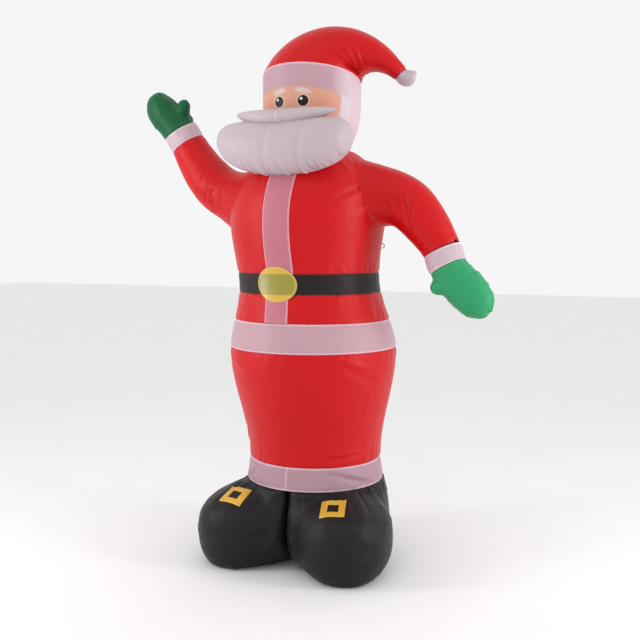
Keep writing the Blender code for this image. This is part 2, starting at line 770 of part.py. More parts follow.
def main():
    coat = trunk()
    belt_buckle()
    skull = head()
    hat()
    face_pads(coat, skull)
    raised_thumb = (RAISED_THUMB_LENGTH, RAISED_THUMB_AIM)
    lowered_thumb = (LOWERED_THUMB_LENGTH, LOWERED_THUMB_AIM)
    arm("right", RAISED_ARM, RAISED_MITTEN_LENGTH, raised_thumb, coat)
    arm("left", LOWERED_ARM, LOWERED_MITTEN_LENGTH, lowered_thumb, coat)
    for side, mirror in (("right", -1), ("left", 1)):
        boot(side, mirror)
        tether_loop(side, mirror)
    lean_the_figure()
    centre_over_origin()


main()
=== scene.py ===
# %% [markdown]
# # An inflatable Father Christmas
#
# The real figure is a garden decoration about 2.4 m tall. It is sewn from thin satin nylon and
# held taut by air, so every piece is a smooth tube or pad whose only detail is what the sewing
# does to it: grooves at the seams, short puckers beside them, a few long pulls, and stitches.
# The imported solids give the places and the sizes. Each cell below dresses one kind of piece.

# %% Load the solids
import math

import bmesh
import bpy
import numpy as np
from mathutils.bvhtree import BVHTree
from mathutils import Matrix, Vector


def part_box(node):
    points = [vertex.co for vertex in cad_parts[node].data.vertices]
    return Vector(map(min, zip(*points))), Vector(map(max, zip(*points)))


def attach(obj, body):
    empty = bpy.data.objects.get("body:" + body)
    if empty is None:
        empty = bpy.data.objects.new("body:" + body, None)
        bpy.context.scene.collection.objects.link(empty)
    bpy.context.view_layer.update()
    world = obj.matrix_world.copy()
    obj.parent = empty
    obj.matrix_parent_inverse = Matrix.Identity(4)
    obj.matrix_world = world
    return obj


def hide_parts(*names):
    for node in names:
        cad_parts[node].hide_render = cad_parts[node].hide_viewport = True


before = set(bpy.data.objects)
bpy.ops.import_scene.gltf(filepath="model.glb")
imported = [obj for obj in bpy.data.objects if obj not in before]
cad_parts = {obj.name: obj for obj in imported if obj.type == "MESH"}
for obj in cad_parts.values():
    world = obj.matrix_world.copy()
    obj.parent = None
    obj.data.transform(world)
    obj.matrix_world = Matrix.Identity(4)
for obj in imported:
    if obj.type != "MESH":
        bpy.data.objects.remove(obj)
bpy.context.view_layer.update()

# %% [markdown]
# ## Where the figure stands
# The head is a round tube that does not lean, so the middle of its box is the line that the
# figure was drawn round. Everything below is worked out from that line and from the height,
# in the same shares as the solids, so that each piece lands on the solid it stands for.

# %% The figure's line and its sizes
HEIGHT = 2.40
head_low, head_high = (np.array(corner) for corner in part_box("head"))
AXIS = np.array([*((head_low + head_high) / 2)[:2], 0.0])
HEM_LOW = 0.1436 * HEIGHT
HEM_HIGH = HEM_LOW + 0.099
HIP_LOW = 0.3911 * HEIGHT
HIP_HIGH = HIP_LOW + 0.125
BELT_LOW = 0.4940 * HEIGHT
BELT_HIGH = BELT_LOW + 0.089
NECK = 0.7618 * HEIGHT
GAP = 0.0003
SEAM_DIP = 0.004
SEAM_ROUND = 0.018
print("the figure's line stands at", AXIS.round(4))

# %% [markdown]
# ## The camera
# A photograph with upright lines that stay parallel was taken with a level camera, and the
# framing was shifted instead. The camera stands a little over 4 m away, at the height of a
# person's eye, on the figure's own left.

# %% Camera
AZIMUTH = math.radians(25)
DISTANCE = 4.196
EYE_LEVEL = 1.421
FOCAL_PIXELS = 912

camera = bpy.data.objects.new("camera", bpy.data.cameras.new("camera"))
bpy.context.scene.collection.objects.link(camera)
camera.location = AXIS + np.array(
    [math.sin(AZIMUTH) * DISTANCE, -math.cos(AZIMUTH) * DISTANCE, EYE_LEVEL]
)
camera.rotation_euler = (math.pi / 2, 0, AZIMUTH)
camera.data.sensor_width = 36
camera.data.lens = FOCAL_PIXELS * 36 / 640
camera.data.shift_x = (320 - 312) / 640
camera.data.shift_y = (240 - 320) / 640
bpy.context.scene.camera = camera
print("camera", [round(x, 3) for x in camera.location])

# %% [markdown]
# ## Shader maths as sums
# A pattern such as a printed eye is arithmetic on coordinates. Wiring it by hand hides the
# arithmetic, so a small class wraps a socket: adding, taking away and multiplying wrapped
# sockets adds the Math nodes. One method makes any other node.


# %% Sockets that can be added up
class Wire:
    """An output socket that takes part in sums."""

    def __init__(self, sheet, socket):
        self.sheet = sheet
        self.socket = socket

    def maths(self, operation, *others, first=None):
        values = [self, *others] if first is None else [first, self]
        settings = {"operation": operation}
        return self.sheet.node("Math", settings, dict(enumerate(values)))

    def __add__(self, other):
        return self.maths("ADD", other)

    def __sub__(self, other):
        return self.maths("SUBTRACT", other)

    def __rsub__(self, other):
        return self.maths("SUBTRACT", first=other)

    def __mul__(self, other):
        return self.maths("MULTIPLY", other)

    def __truediv__(self, other):
        return self.maths("DIVIDE", other)

    def __pow__(self, other):
        return self.maths("POWER", other)

    def __abs__(self):
        return self.maths("ABSOLUTE")

    def least(self, other):
        return self.maths("MINIMUM", other)

    def most(self, other):
        return self.maths("MAXIMUM", other)

    def below(self, limit, soft):
        """1 where this is under the limit, 0 where it is over, with a soft edge."""
        return ((limit - self) / soft + 0.5).clamped()

    def clamped(self):
        return self.most(0.0).least(1.0)

    __radd__ = __add__
    __rmul__ = __mul__


class Sheet:
    """The node sheet of one material."""

    def __init__(self, name):
        self.material = bpy.data.materials.new(name)
        self.material.use_nodes = True
        self.tree = self.material.node_tree
        self.shader = self.tree.nodes["Principled BSDF"]

    def feed(self, socket, value):
        if isinstance(value, Wire):
            self.tree.links.new(value.socket, socket)
        else:
            socket.default_value = value

    def node(self, kind, settings=None, sockets=None, out=0):
        made = self.tree.nodes.new(f"ShaderNode{kind}")
        for name, value in (settings or {}).items():
            if name == "stops":
                ramp = made.color_ramp
                for stop, (place, colour) in zip(ramp.elements, value):
                    stop.position = place
                    stop.color = colour
            else:
                setattr(made, name, value)
        for name, value in (sockets or {}).items():
            self.feed(made.inputs[name], value)
        return Wire(self, made.outputs[out])

    def tint(self, share, colour, other):
        """One colour where share is 0 and the other where it is 1."""
        pair = [(*c, 1) if isinstance(c, tuple) else c for c in (colour, other)]
        sockets = {0: share, 6: pair[0], 7: pair[1]}
        return self.node("Mix", {"data_type": "RGBA"}, sockets, out=2)

    def noise(self, scale, detail=2.0, roughness=0.5, warp=0.0):
        place = self.node("TexCoord", out=3)
        sockets = {
            "Vector": place,
            "Scale": scale,
            "Detail": detail,
            "Roughness": roughness,
            "Distortion": warp,
        }
        return self.node("TexNoise", {}, sockets)

    def shade(self, **values):
        for name, value in values.items():
            name = name.replace("_", " ").replace("Ior", "IOR")
            self.feed(self.shader.inputs[name], value)


print("sockets can be added up")

# %% [markdown]
# ## Satin nylon
# The cloth is a close plain weave with a soft sheen. From a step away it shows three things:
# wide satin highlights, a faint crinkle where the air does not pull it quite flat, and a
# lighter line along each sewn edge, where the cloth is turned under and lies double; that
# line is partly a painted highlight. Thin pale cloth also lets the red inside glow through it,
# so white reads as a greyish pink.


# %% Satin nylon
def srgb(red, green, blue):
    """The linear colour of a screen colour, 0 to 255."""
    channels = (value / 255 for value in (red, green, blue))
    return tuple(c / 12.92 if c <= 0.04045 else ((c + 0.055) / 1.055) ** 2.4 for c in channels)


TURNING = 0.007
THREAD_PITCH = 0.0011


def edge_distance(sheet):
    return sheet.node("Attribute", {"attribute_name": "edge"}, out=2)


def weave(sheet):
    """Over and under, from the cloth's own coordinates in metres."""
    flat = sheet.node("UVMap", {"uv_map": "cloth"})
    split = sheet.node("SeparateXYZ", {}, {"Vector": flat})
    across = split
    along = Wire(sheet, split.socket.node.outputs[1])
    turns = 2 * math.pi / THREAD_PITCH
    return (across * turns).maths("SINE") * (along * turns).maths("SINE")


def satin(name, colour, doubled_and_highlight, rough=0.40, crinkle=1.0):
    """A fabric: its colour, and the colour at a sewn edge, where it lies double, partly a painted
    highlight.
    """
    sheet = Sheet(name)
    near = edge_distance(sheet).below(TURNING, 0.0015)
    slow = sheet.noise(2.2, detail=1.5)
    dim = tuple(c * 0.90 for c in colour)
    cloth = sheet.tint(slow, dim, tuple(c * 1.08 for c in colour))
    # At a sewn edge the cloth lies double, and the paler edge colours are partly a painted
    # highlight.
    cloth = sheet.tint(near * 0.75, cloth, doubled_and_highlight)
    return finish_cloth(sheet, cloth, rough, crinkle)


def finish_cloth(sheet, cloth, rough, crinkle):
    """Sets a sheet's colour, roughness and relief as thin sewn nylon."""
    soft = sheet.noise(26, detail=3, roughness=0.55, warp=1.2)
    fine = sheet.noise(120, detail=2, roughness=0.6)
    ridge = edge_distance(sheet).below(TURNING, 0.0015)
    relief = soft * (0.0016 * crinkle) + fine * 0.00022 + ridge * 0.0005 + weave(sheet) * 0.00003
    bump = sheet.node("Bump", {}, {"Height": relief, "Distance": 1.0, "Strength": 0.9})
    sheet.shade(Base_Color=cloth, Roughness=soft * 0.14 + (rough - 0.07), Normal=bump)
    sheet.shade(Specular_Ior_Level=0.22)
    return sheet.material


RED = srgb(197, 6, 14)
WHITE = srgb(188, 150, 160)
red_satin = satin("red_satin", RED, srgb(186, 6, 14))
white_satin = satin("white_satin", WHITE, srgb(220, 182, 194))
strip_satin = satin("strip_satin", srgb(190, 115, 128), srgb(216, 156, 168))
# The lower hem band is drawn greyer and darker than the other white cloth: painted shade, as it
# stands low, where less light reaches.
hem_satin_painted_shade = satin("hem_satin_painted_shade", srgb(170, 136, 146), srgb(206, 176, 186))
cuff_satin = satin("cuff_satin", srgb(198, 176, 182), srgb(216, 198, 204))
beard_satin = satin("beard_satin", srgb(192, 176, 183), srgb(212, 197, 204), crinkle=2.2)
# The two mittens are of one green cloth: the raised one is drawn darker as painted shade, and the
# lowered one lighter as painted light.
green_painted_shade = satin("green_satin_painted_shade", srgb(13, 90, 52), srgb(18, 104, 60), crinkle=2.0)
green_painted_lit = satin("green_satin_painted_lit", srgb(46, 152, 100), srgb(54, 162, 108), crinkle=2.4)
black_satin = satin("black_satin", srgb(25, 23, 24), srgb(38, 34, 34), rough=0.46, crinkle=2.8)
belt_satin = satin("belt_satin", srgb(31, 22, 23), srgb(44, 34, 34), rough=0.46)
print("materials", [m.name for m in bpy.data.materials])

# %% [markdown]
# ## One way to make a skin
# Nearly every piece is a tube: rings of points from one seam to the next. Taking the rings as
# a table of points in numpy keeps the arithmetic short and lets creases be added to all the
# points at once, along the cloth's own directions. Each skin is closed at both ends, carries
# coordinates in metres for the weave, and remembers how far each point is from a sewn edge.


# %% Skins from rings
def unit(vectors):
    return vectors / np.linalg.norm(vectors, axis=-1, keepdims=True)


def outward(rings):
    """The direction out of the cloth at every point of a table of rings."""
    around = np.roll(rings, -1, axis=1) - np.roll(rings, 1, axis=1)
    along = np.gradient(rings, axis=0)
    normal = unit(np.cross(around, along) + 1e-12)
    spokes = rings - rings.mean(axis=1, keepdims=True)
    return normal * np.sign((normal * spokes).sum(axis=-1).mean())


def ring_mesh(name, rings, across, along, edge):
    """A closed mesh made of rings, with the cloth's coordinates and its distance to a seam."""
    rows, columns, _ = rings.shape
    ends = np.stack([rings[0].mean(axis=0), rings[-1].mean(axis=0)])
    points = np.concatenate([rings.reshape(-1, 3), ends])
    row, column = np.meshgrid(np.arange(rows - 1), np.arange(columns), indexing="ij")
    after = (column + 1) % columns
    corners = [row * columns + column, row * columns + after]
    corners += [(row + 1) * columns + after, (row + 1) * columns + column]
    quads = np.stack(corners, axis=-1).reshape(-1, 4)
    spot = np.arange(columns)
    following = (spot + 1) % columns
    base, top = np.full(columns, rows * columns), np.full(columns, rows * columns + 1)
    low_cap = np.stack([following, spot, base], axis=-1)
    last = (rows - 1) * columns
    high_cap = np.stack([last + spot, last + following, top], axis=-1)
    faces = quads.tolist() + low_cap.tolist() + high_cap.tolist()
    mesh = bpy.data.meshes.new(name)
    mesh.from_pydata(points.tolist(), [], faces)
    flat = np.zeros((len(quads), 4, 2))
    flat[:, 0] = np.stack([across[column], along[row]], axis=-1).reshape(-1, 2)
    flat[:, 1] = np.stack([across[column + 1], along[row]], axis=-1).reshape(-1, 2)
    flat[:, 2] = np.stack([across[column + 1], along[row + 1]], axis=-1).reshape(-1, 2)
    flat[:, 3] = np.stack([across[column], along[row + 1]], axis=-1).reshape(-1, 2)
    flat = np.concatenate([flat.reshape(-1, 2), np.zeros((columns * 6, 2))])
    layer = mesh.uv_layers.new(name="cloth")
    layer.data.foreach_set("uv", flat.astype(np.float32).ravel())
    sewn = np.concatenate([np.broadcast_to(edge, (rows, columns)).ravel(), [0, 0]])
    mesh.attributes.new("edge", "FLOAT", "POINT").data.foreach_set("value", sewn.astype(np.float32))
    return mesh


def skin(name, rings, across, along, edge, material, slot, *nodes):
    """Files a mesh made of rings as a piece that stands for the named solids."""
    mesh = ring_mesh(name, rings, across, along, edge)
    return file_piece(name, mesh, material, slot, *nodes)


pieces = {}


def beside_solid(mesh, node):
    """How many millimetres a piece's box stands outside its solid's box, on each side."""
    place = np.array([vert.co for vert in mesh.vertices])
    low, high = (np.array(corner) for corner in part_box(node))
    outside = [low - place.min(axis=0), place.max(axis=0) - high]
    return " ".join(f"{value * 1000:.0f}" for side in outside for value in side)


FLAT_TRIMS = ("front_strip", "belt_buckle", "boot_buckle")


def facing_out(mesh):
    """Turns the faces of a closed mesh outwards."""
    bm = bmesh.new()
    bm.from_mesh(mesh)
    if bm.calc_volume(signed=True) < 0:
        bmesh.ops.reverse_faces(bm, faces=bm.faces)
    bm.to_mesh(mesh)
    bm.free()


def file_piece(name, mesh, material, slot, *nodes):
    """Turns a mesh's faces outwards, shades it, and files it on the figure."""
    facing_out(mesh)
    mesh.shade_smooth()
    mesh.set_sharp_from_angle(angle=math.radians(60))
    mesh.materials.clear()
    mesh.materials.append(material)
    piece = bpy.data.objects.new(name, mesh)
    bpy.context.scene.collection.objects.link(piece)
    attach(piece, "root")
    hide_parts(*nodes)
    nodes and not name.startswith(FLAT_TRIMS)
    triangles = sum(len(face.vertices) - 2 for face in mesh.polygons)
    print(f"{name}: {triangles} triangles", *(beside_solid(mesh, node) for node in nodes))
    pieces[name] = piece
    return piece


# %% [markdown]
# ## Puckers and pulls
# A seam is a little shorter than the cloth it gathers, so short creases start at it and fade
# out a hand's width away, each at its own angle. Where a limb pulls, a long soft crease runs
# across the panel: a ridge with a hollow beside it. Both are sums of smooth bumps whose
# places come from a seeded generator, so they are the same every time.


# %% Creases
def wrapped(distance, girth):
    return (distance + girth / 2) % girth - girth / 2


def puckers(across, away, girth, seed, count, depth, length, width=0.009, spread=0.16):
    """Short creases that start at a seam, where away is the distance from it. A crease grows
    wider by spread for each metre that it runs, and leans by about twice that."""
    random = np.random.default_rng(seed)
    total = 0.0
    for _ in range(count):
        place = random.uniform(0, girth)
        wide = width * random.uniform(0.6, 1.7)
        long = length * random.uniform(0.35, 1.5)
        deep = depth * random.uniform(0.3, 1.0) * random.choice((-1, -1, 1))
        lean = random.normal(0, 2.2 * spread)
        aside = wrapped(across - place - lean * away, girth)
        wide = wide + spread * away
        total = total + deep * np.exp(-((aside / wide) ** 2) - (away / long) ** 1.4)
    return total * (1 - np.exp(-away / 0.006))


def pull(across, along, girth, start, end, width, depth, bow=0.0):
    """One long soft crease from start to end on the cloth: a ridge with a hollow beside it."""
    step_across = wrapped(end[0] - start[0], girth)
    step_along = end[1] - start[1]
    length = math.hypot(step_across, step_along)
    x = wrapped(across - start[0], girth)
    y = along - start[1]
    share = (x * step_across + y * step_along) / length**2
    aside = (x * step_along - y * step_across) / length
    aside = aside - bow * np.sin(np.pi * np.clip(share, 0, 1)) * length
    fade = np.sin(np.pi * np.clip(share, 0, 1)) ** 0.8
    ridge = np.exp(-((aside / width) ** 2))
    hollow = np.exp(-(((aside - 1.7 * width) / (1.2 * width)) ** 2))
    return depth * fade * (ridge - 0.75 * hollow)


def random_pulls(across, along, girth, tall, seed, count, depth, slope=0.8):
    """A few faint pulls spread over a panel."""
    random = np.random.default_rng(seed)
    total = 0.0
    for _ in range(count):
        place = (random.uniform(0, girth), random.uniform(0, tall))
        reach = random.uniform(0.08, 0.24)
        angle = random.normal(0, slope)
        other = (place[0] + reach * math.cos(angle), place[1] + reach * math.sin(angle))
        width = random.uniform(0.008, 0.018)
        deep = depth * random.uniform(0.4, 1.0)
        bow = random.normal(0, 0.08)
        total = total + pull(across, along, girth, place, other, width, deep, bow)
    return total


def seam_dip(distance):
    """How far sewn cloth draws in near its edge."""
    return SEAM_DIP * np.clip(1 - distance / SEAM_ROUND, 0, 1) ** 2


def ring_at(rings, along, level, lift=0.0006):
    """The loop of points that runs round a skin at one distance along it, just off the cloth."""
    k = int(np.clip(np.searchsorted(along, level), 1, len(along) - 1))
    share = (level - along[k - 1]) / (along[k] - along[k - 1])
    lifted = rings[k - 1 : k + 1] + outward(rings)[k - 1 : k + 1] * lift
    return lifted[0] * (1 - share) + lifted[1] * share


SEAMS = {"white": [], "red": [], "black": [], "green": []}

# %% [markdown]
# ## The trunk
# Robe, hem, hips, skirt, belt and coat are one column of air, divided by seams. The solids
# name a few full and slim levels, and the girth eases from one to the next. Above the chest
# the column rounds in to the neck. The whole column sways a little to one side and back.


# %% The trunk's girth and sway
HEM = (0.1836 * HEIGHT, 0.1237 * HEIGHT)
HIPS = (0.3853 * HEIGHT, 0.1577 * HEIGHT)
WAIST = (0.5120 * HEIGHT, 0.1339 * HEIGHT)
CHEST = (0.6427 * HEIGHT, 0.1487 * HEIGHT)
HEM_FLARE = 0.0051 * HEIGHT
NECK_RADIUS = 0.0699 * HEIGHT
SWAY = ((HEM[0], 0.0070), (HIPS[0], 0.0030), (0.592 * HEIGHT, -0.0095), (NECK, 0.0))


def eased(level, places):
    """A value that eases from place to place, each given as (level, value)."""
    value = np.full_like(level, places[0][1])
    for (low, first), (high, second) in zip(places, places[1:]):
        share = np.clip((level - low) / (high - low), 0, 1)
        value = value + (second - first) * share * share * (3 - 2 * share)
    return value


def girth_at(level):
    level = np.asarray(level, float)
    radius = eased(level, (HEM, HIPS, WAIST, CHEST))
    flare = HEM_FLARE * np.clip((HEM[0] - level) / (HEM[0] - HEM_LOW), 0, None)
    share = np.clip((level - CHEST[0]) / (NECK - CHEST[0]), 0, 1)
    dome = NECK_RADIUS + (CHEST[1] - NECK_RADIUS) * (1 - share**2) ** 0.7
    return np.where(level > CHEST[0], dome, radius + flare)


def sway_at(level):
    return eased(np.asarray(level, float), SWAY) * HEIGHT


def trunk_rings(low, high, columns=360, pitch=0.0085):
    """A panel's levels, its distances round and up, and its rings before any crease."""
    rows = max(12, round((high - low) / pitch))
    share = np.linspace(0, 1, rows + 1)
    share = share + 0.25 * np.sin(2 * np.pi * share) / (2 * np.pi) * -1
    level = low + GAP / 2 + (high - low - GAP) * share
    angle = math.pi / 2 + np.linspace(0, 2 * math.pi, columns + 1)[:-1]
    distance = np.minimum(level - low, high - level)
    radius = girth_at(level) - seam_dip(distance)
    rings = np.stack(
        [
            AXIS[0] + sway_at(level)[:, None] + radius[:, None] * np.cos(angle),
            AXIS[1] + radius[:, None] * np.sin(angle),
            np.broadcast_to(level[:, None], (rows + 1, columns)),
        ],
        axis=-1,
    )
    around = 2 * math.pi * float(girth_at((low + high) / 2))
    return level, np.linspace(0, around, columns + 1), around, distance, rings


def panel(name, low, high, material, slot, nodes, creases, side_seams=()):
    """One panel of the trunk, with puckers at both seams and the pulls that are asked for."""
    level, across, around, distance, rings = trunk_rings(low, high)
    x, y = across[None, :-1], (level - low)[:, None]
    count = round(around / 0.024)
    depth, reach = creases["depth"], creases["reach"]
    seed = creases["seed"]
    relief = puckers(x, y, around, seed, count, depth, reach)
    relief = relief + puckers(x, (high - level)[:, None], around, seed + 1, count, depth, reach)
    for start, end, width, deep in creases.get("pulls", ()):
        start, end = ((place[0] * around, place[1] * (high - low)) for place in (start, end))
        relief = relief + pull(x, y, around, start, end, width, deep)
    if creases.get("strays"):
        relief = relief + random_pulls(
            x, y, around, high - low, seed + 2, creases["strays"], creases.get("stray", 0.0014)
        )
    edge = np.broadcast_to(distance[:, None], rings.shape[:2])
    for share in side_seams:
        aside = abs(wrapped(x - share * around, around))
        relief = relief - 0.0018 * np.exp(-((aside / 0.005) ** 2))
        edge = np.minimum(edge, np.broadcast_to(aside + TURNING * 0.55, rings.shape[:2]))
    fade = np.clip(distance / 0.004, 0, 1)[:, None]
    rings = rings + outward(rings) * relief[..., None] * fade[..., None]
    skin(name, rings, across, level, edge, material, slot, *nodes)
    return level, rings


# %% [markdown]
# ## Robe, bands, belt and coat
# The red panels are long and pulled tight, with faint slanting pulls at the hips and chest.
# The white bands are short, so their puckers nearly meet, and the lower one shows slanting
# creases where the boots drag at it, and one upright seam at the middle of the front.

# %% Sew the trunk
FRONT = 0.5
hem_pulls = [((FRONT + 0.085 + 0.010 * k, 0.95), (FRONT + 0.20 + 0.008 * k, 0.25 - 0.02 * k),
              0.006, 0.0050) for k in range(5)]
hem_pulls += [((FRONT - 0.15 - 0.010 * k, 0.15), (FRONT - 0.09 - 0.006 * k, 0.75), 0.006, 0.0042)
              for k in range(3)]
hem = panel("robe_hem_band", HEM_LOW, HEM_HIGH, hem_satin_painted_shade, "white_fabric", ["robe_hem_band"],
            {"depth": 0.0026, "reach": 0.035, "seed": 11, "pulls": hem_pulls}, [FRONT, 0.0])
robe_pulls = [
    ((FRONT + 0.10, 0.97), (FRONT + 0.22, 0.80), 0.011, 0.0050),
    ((FRONT + 0.13, 0.90), (FRONT + 0.24, 0.70), 0.012, 0.0050),
    ((FRONT - 0.17, 0.96), (FRONT - 0.07, 0.82), 0.014, 0.0030),
    ((FRONT + 0.08, 0.10), (FRONT + 0.22, 0.13), 0.007, 0.0045),
    ((FRONT - 0.20, 0.08), (FRONT - 0.12, 0.30), 0.012, 0.0028),
]
robe = panel("robe", HEM_HIGH, HIP_LOW, red_satin, "red_fabric", ["robe"],
             {"depth": 0.0022, "reach": 0.055, "seed": 21, "pulls": robe_pulls, "strays": 14},
             [0.25, 0.75])
hips = panel("coat_hem_band", HIP_LOW, HIP_HIGH, white_satin, "white_fabric", ["coat_hem_band"],
             {"depth": 0.0016, "reach": 0.035, "seed": 31}, [0.25, 0.75])
skirt = panel("coat_skirt", HIP_HIGH, BELT_LOW, red_satin, "red_fabric", ["coat_skirt"],
              {"depth": 0.0022, "reach": 0.045, "seed": 41, "strays": 5}, [0.25, 0.75])
belt = panel("belt", BELT_LOW, BELT_HIGH, belt_satin, "belt_fabric", ["belt"],
             {"depth": 0.0013, "reach": 0.030, "seed": 51}, [0.25, 0.75])
coat_pulls = [
    ((FRONT - 0.24, 0.66), (FRONT - 0.13, 0.50), 0.010, 0.0060),
    ((FRONT - 0.25, 0.60), (FRONT - 0.15, 0.40), 0.012, 0.0040),
    ((FRONT + 0.23, 0.70), (FRONT + 0.12, 0.56), 0.010, 0.0055),
    ((FRONT + 0.25, 0.62), (FRONT + 0.15, 0.42), 0.012, 0.0035),
    ((FRONT + 0.12, 0.98), (FRONT + 0.17, 0.78), 0.016, 0.0035),
    ((FRONT - 0.10, 0.97), (FRONT - 0.15, 0.78), 0.016, 0.0030),
]
coat = panel("coat_upper", BELT_HIGH, NECK, red_satin, "red_fabric", ["coat_upper"],
             {"depth": 0.0024, "reach": 0.060, "seed": 61, "pulls": coat_pulls, "strays": 12})
for thread, (level, rings), at in (
    ("white", hem, HEM_LOW + 0.0045), ("white", hem, HEM_HIGH - 0.0045),
    ("white", hips, HIP_LOW + 0.0045), ("white", hips, HIP_HIGH - 0.0045),
    ("black", belt, BELT_LOW + 0.0045), ("black", belt, BELT_HIGH - 0.0045),
):
    SEAMS[thread].append(ring_at(rings, level, at))

# %% [markdown]
# ## Head and its printed face
# The head is one pale tube. Its front panel is printed: a skin-coloured window with soft
# edges, two round eyes with a glint, white brows and tufts of hair at its sides. The face is
# plain and doll-like. Print has no thickness, so it belongs in the material, and it is drawn
# from the cloth's own coordinates: metres round from the middle of the front, and the level.


# %% The printed front panel
EYE = (0.0590, 2.0295, 0.0240)
BROW = (0.0580, 2.0725, 0.036, 0.0115)
BROW_SLOPE = 0.20


def oval(across, up, centre, radii, soft):
    """1 inside an oval and 0 outside it."""
    x = (across - centre[0]) / radii[0]
    y = (up - centre[1]) / radii[1]
    return ((x * x + y * y) ** 0.5).below(1.0, soft / min(radii))


def printed_head():
    sheet = Sheet("printed_head")
    flat = sheet.node("UVMap", {"uv_map": "cloth"})
    split = sheet.node("SeparateXYZ", {}, {"Vector": flat})
    across = split
    up = Wire(sheet, split.socket.node.outputs[1])
    beside = abs(across)
    ragged = sheet.noise(55, detail=3, warp=0.6) - 0.5
    window = (beside + (2.051 - up) * 0.30 + ragged * 0.010).below(0.243, 0.008)
    window = window * (up + beside * beside * 0.75).below(2.0965, 0.004)
    window = window * (1.87 - up).below(0.0, 0.02)
    locks = (up * 330).maths("SINE") * 0.0025 + ragged * 0.008
    tuft = (0.236 - beside + locks).below(0.0, 0.004) * (beside + ragged * 0.02).below(0.288, 0.02)
    tuft = tuft * (up + beside * 0.35 + ragged * 0.01).below(2.144, 0.012)
    brow_level = up + abs(beside - 0.040) * BROW_SLOPE + ragged * 0.006
    brow = oval(beside, brow_level, (BROW[0], BROW[1] + 0.006), (BROW[2], BROW[3]), 0.005)
    rim = oval(beside, up, EYE[:2], (EYE[2] * 1.22, EYE[2] * 1.22), 0.003)
    ball = oval(beside, up, EYE[:2], (EYE[2], EYE[2]), 0.002)
    glint = oval(abs(across + 0.0085), up, (EYE[0], EYE[1] + 0.0095), (0.0062, 0.0062), 0.002)
    # A soft patch of skin just above the moustache ends is drawn redder and darker.
    by_moustache = oval(beside, up, (0.150, 1.985), (0.075, 0.050), 0.050)
    skin_tone = sheet.tint(by_moustache * 0.5, srgb(214, 156, 132), srgb(210, 132, 114))
    slow = sheet.noise(2.2, detail=1.5)
    cloth = sheet.tint(slow, tuple(c * 0.94 for c in WHITE), tuple(c * 1.04 for c in WHITE))
    pale = beside.below(0.235, 0.10)
    cloth = sheet.tint(pale, srgb(212, 192, 198), cloth)
    cloth = sheet.tint(tuft * 0.7, cloth, srgb(212, 204, 212))
    cloth = sheet.tint(window * (1 - tuft), cloth, skin_tone)
    cloth = sheet.tint(brow * 0.85, cloth, srgb(208, 196, 194))
    cloth = sheet.tint(rim * 0.75, cloth, srgb(228, 190, 172))
    cloth = sheet.tint(ball, cloth, srgb(26, 24, 26))
    cloth = sheet.tint(glint * 0.95, cloth, srgb(235, 232, 232))
    # At the sewn edge the cloth lies double and is drawn paler, partly a painted highlight.
    near = edge_distance(sheet).below(TURNING, 0.0015)
    cloth = sheet.tint(near * 0.75, cloth, srgb(226, 194, 204))
    return finish_cloth(sheet, cloth, 0.42, 0.7)


head_print = printed_head()
print("printed", head_print.name)

# %% [markdown]
# The tube widens from the neck and is cut off by the slanting seam of the hat, which is
# higher at the forehead, where y is least. Its two side seams divide the printed front from
# the plain back.

# %% Head
HEAD_RADIUS = 0.0942 * HEIGHT
HEAD_FULL = 0.8535 * HEIGHT
HAT_SEAM = 0.8991 * HEIGHT
HAT_SLOPE = 0.19
SIDE_SEAM = math.radians(87)


def head_radius_at(level):
    share = np.clip((level - NECK) / (HEAD_FULL - NECK), 0, 1)
    return NECK_RADIUS + (HEAD_RADIUS - NECK_RADIUS) * (1 - (1 - share) ** 2.2)


def head():
    columns, rows = 340, 70
    turned = np.linspace(-math.pi, math.pi, columns + 1)
    angle = turned[:-1] - math.pi / 2
    share = np.linspace(0, 1, rows + 1)[:, None]
    top = HAT_SEAM - HAT_SLOPE * HEAD_RADIUS * np.sin(angle)
    level = (NECK + GAP) + (top - NECK - GAP) * share
    low_edge, high_edge = level - NECK, top - level
    across = turned * HEAD_RADIUS
    girth = 2 * math.pi * HEAD_RADIUS
    x = across[None, :-1]
    aside = np.minimum(abs(abs(x) - SIDE_SEAM * HEAD_RADIUS), 1.0)
    radius = head_radius_at(level) - seam_dip(np.minimum(low_edge, high_edge))
    rings = np.stack(
        [AXIS[0] + radius * np.cos(angle), AXIS[1] + radius * np.sin(angle), level], axis=-1
    )
    relief = puckers(x, high_edge, girth, 71, 40, 0.0010, 0.030)
    relief = relief + puckers(x, low_edge, girth, 72, 50, 0.0022, 0.050)
    relief = relief - 0.0016 * np.exp(-((aside / 0.005) ** 2))
    rings = rings + outward(rings) * relief[..., None]
    edge = np.minimum(np.minimum(low_edge, high_edge), aside + TURNING * 0.55)
    levels = level[:, columns // 2]
    skin_mesh = skin("head", rings, across, levels, edge, head_print, "white_fabric", "head")
    # The level is different at each column, so the printed coordinates are set point by point.
    mesh = skin_mesh.data
    flat = np.zeros(len(mesh.loops) * 2, np.float32)
    mesh.uv_layers["cloth"].data.foreach_get("uv", flat)
    corner = np.zeros(len(mesh.loops), np.int32)
    mesh.loops.foreach_get("vertex_index", corner)
    place = np.zeros(len(mesh.vertices) * 3, np.float32)
    mesh.vertices.foreach_get("co", place)
    flat = flat.reshape(-1, 2)
    flat[:, 1] = place.reshape(-1, 3)[corner, 2]
    mesh.uv_layers["cloth"].data.foreach_set("uv", flat.ravel())
    return level, rings


head_levels, head_rings = head()
SEAMS["white"].append(head_rings[-3] + outward(head_rings)[-3] * 0.0006)
SEAMS["white"].append(head_rings[2] + outward(head_rings)[2] * 0.0006)

# %% [markdown]
# ## The hat
# The hat is a cone that folds over. Its sections fan out round the inner side of the fold,
# above the ear, as the pages of a book fan out from its back, and creases gather where they
# meet. The fan is the rule, so the rings are worked out from a turning angle.

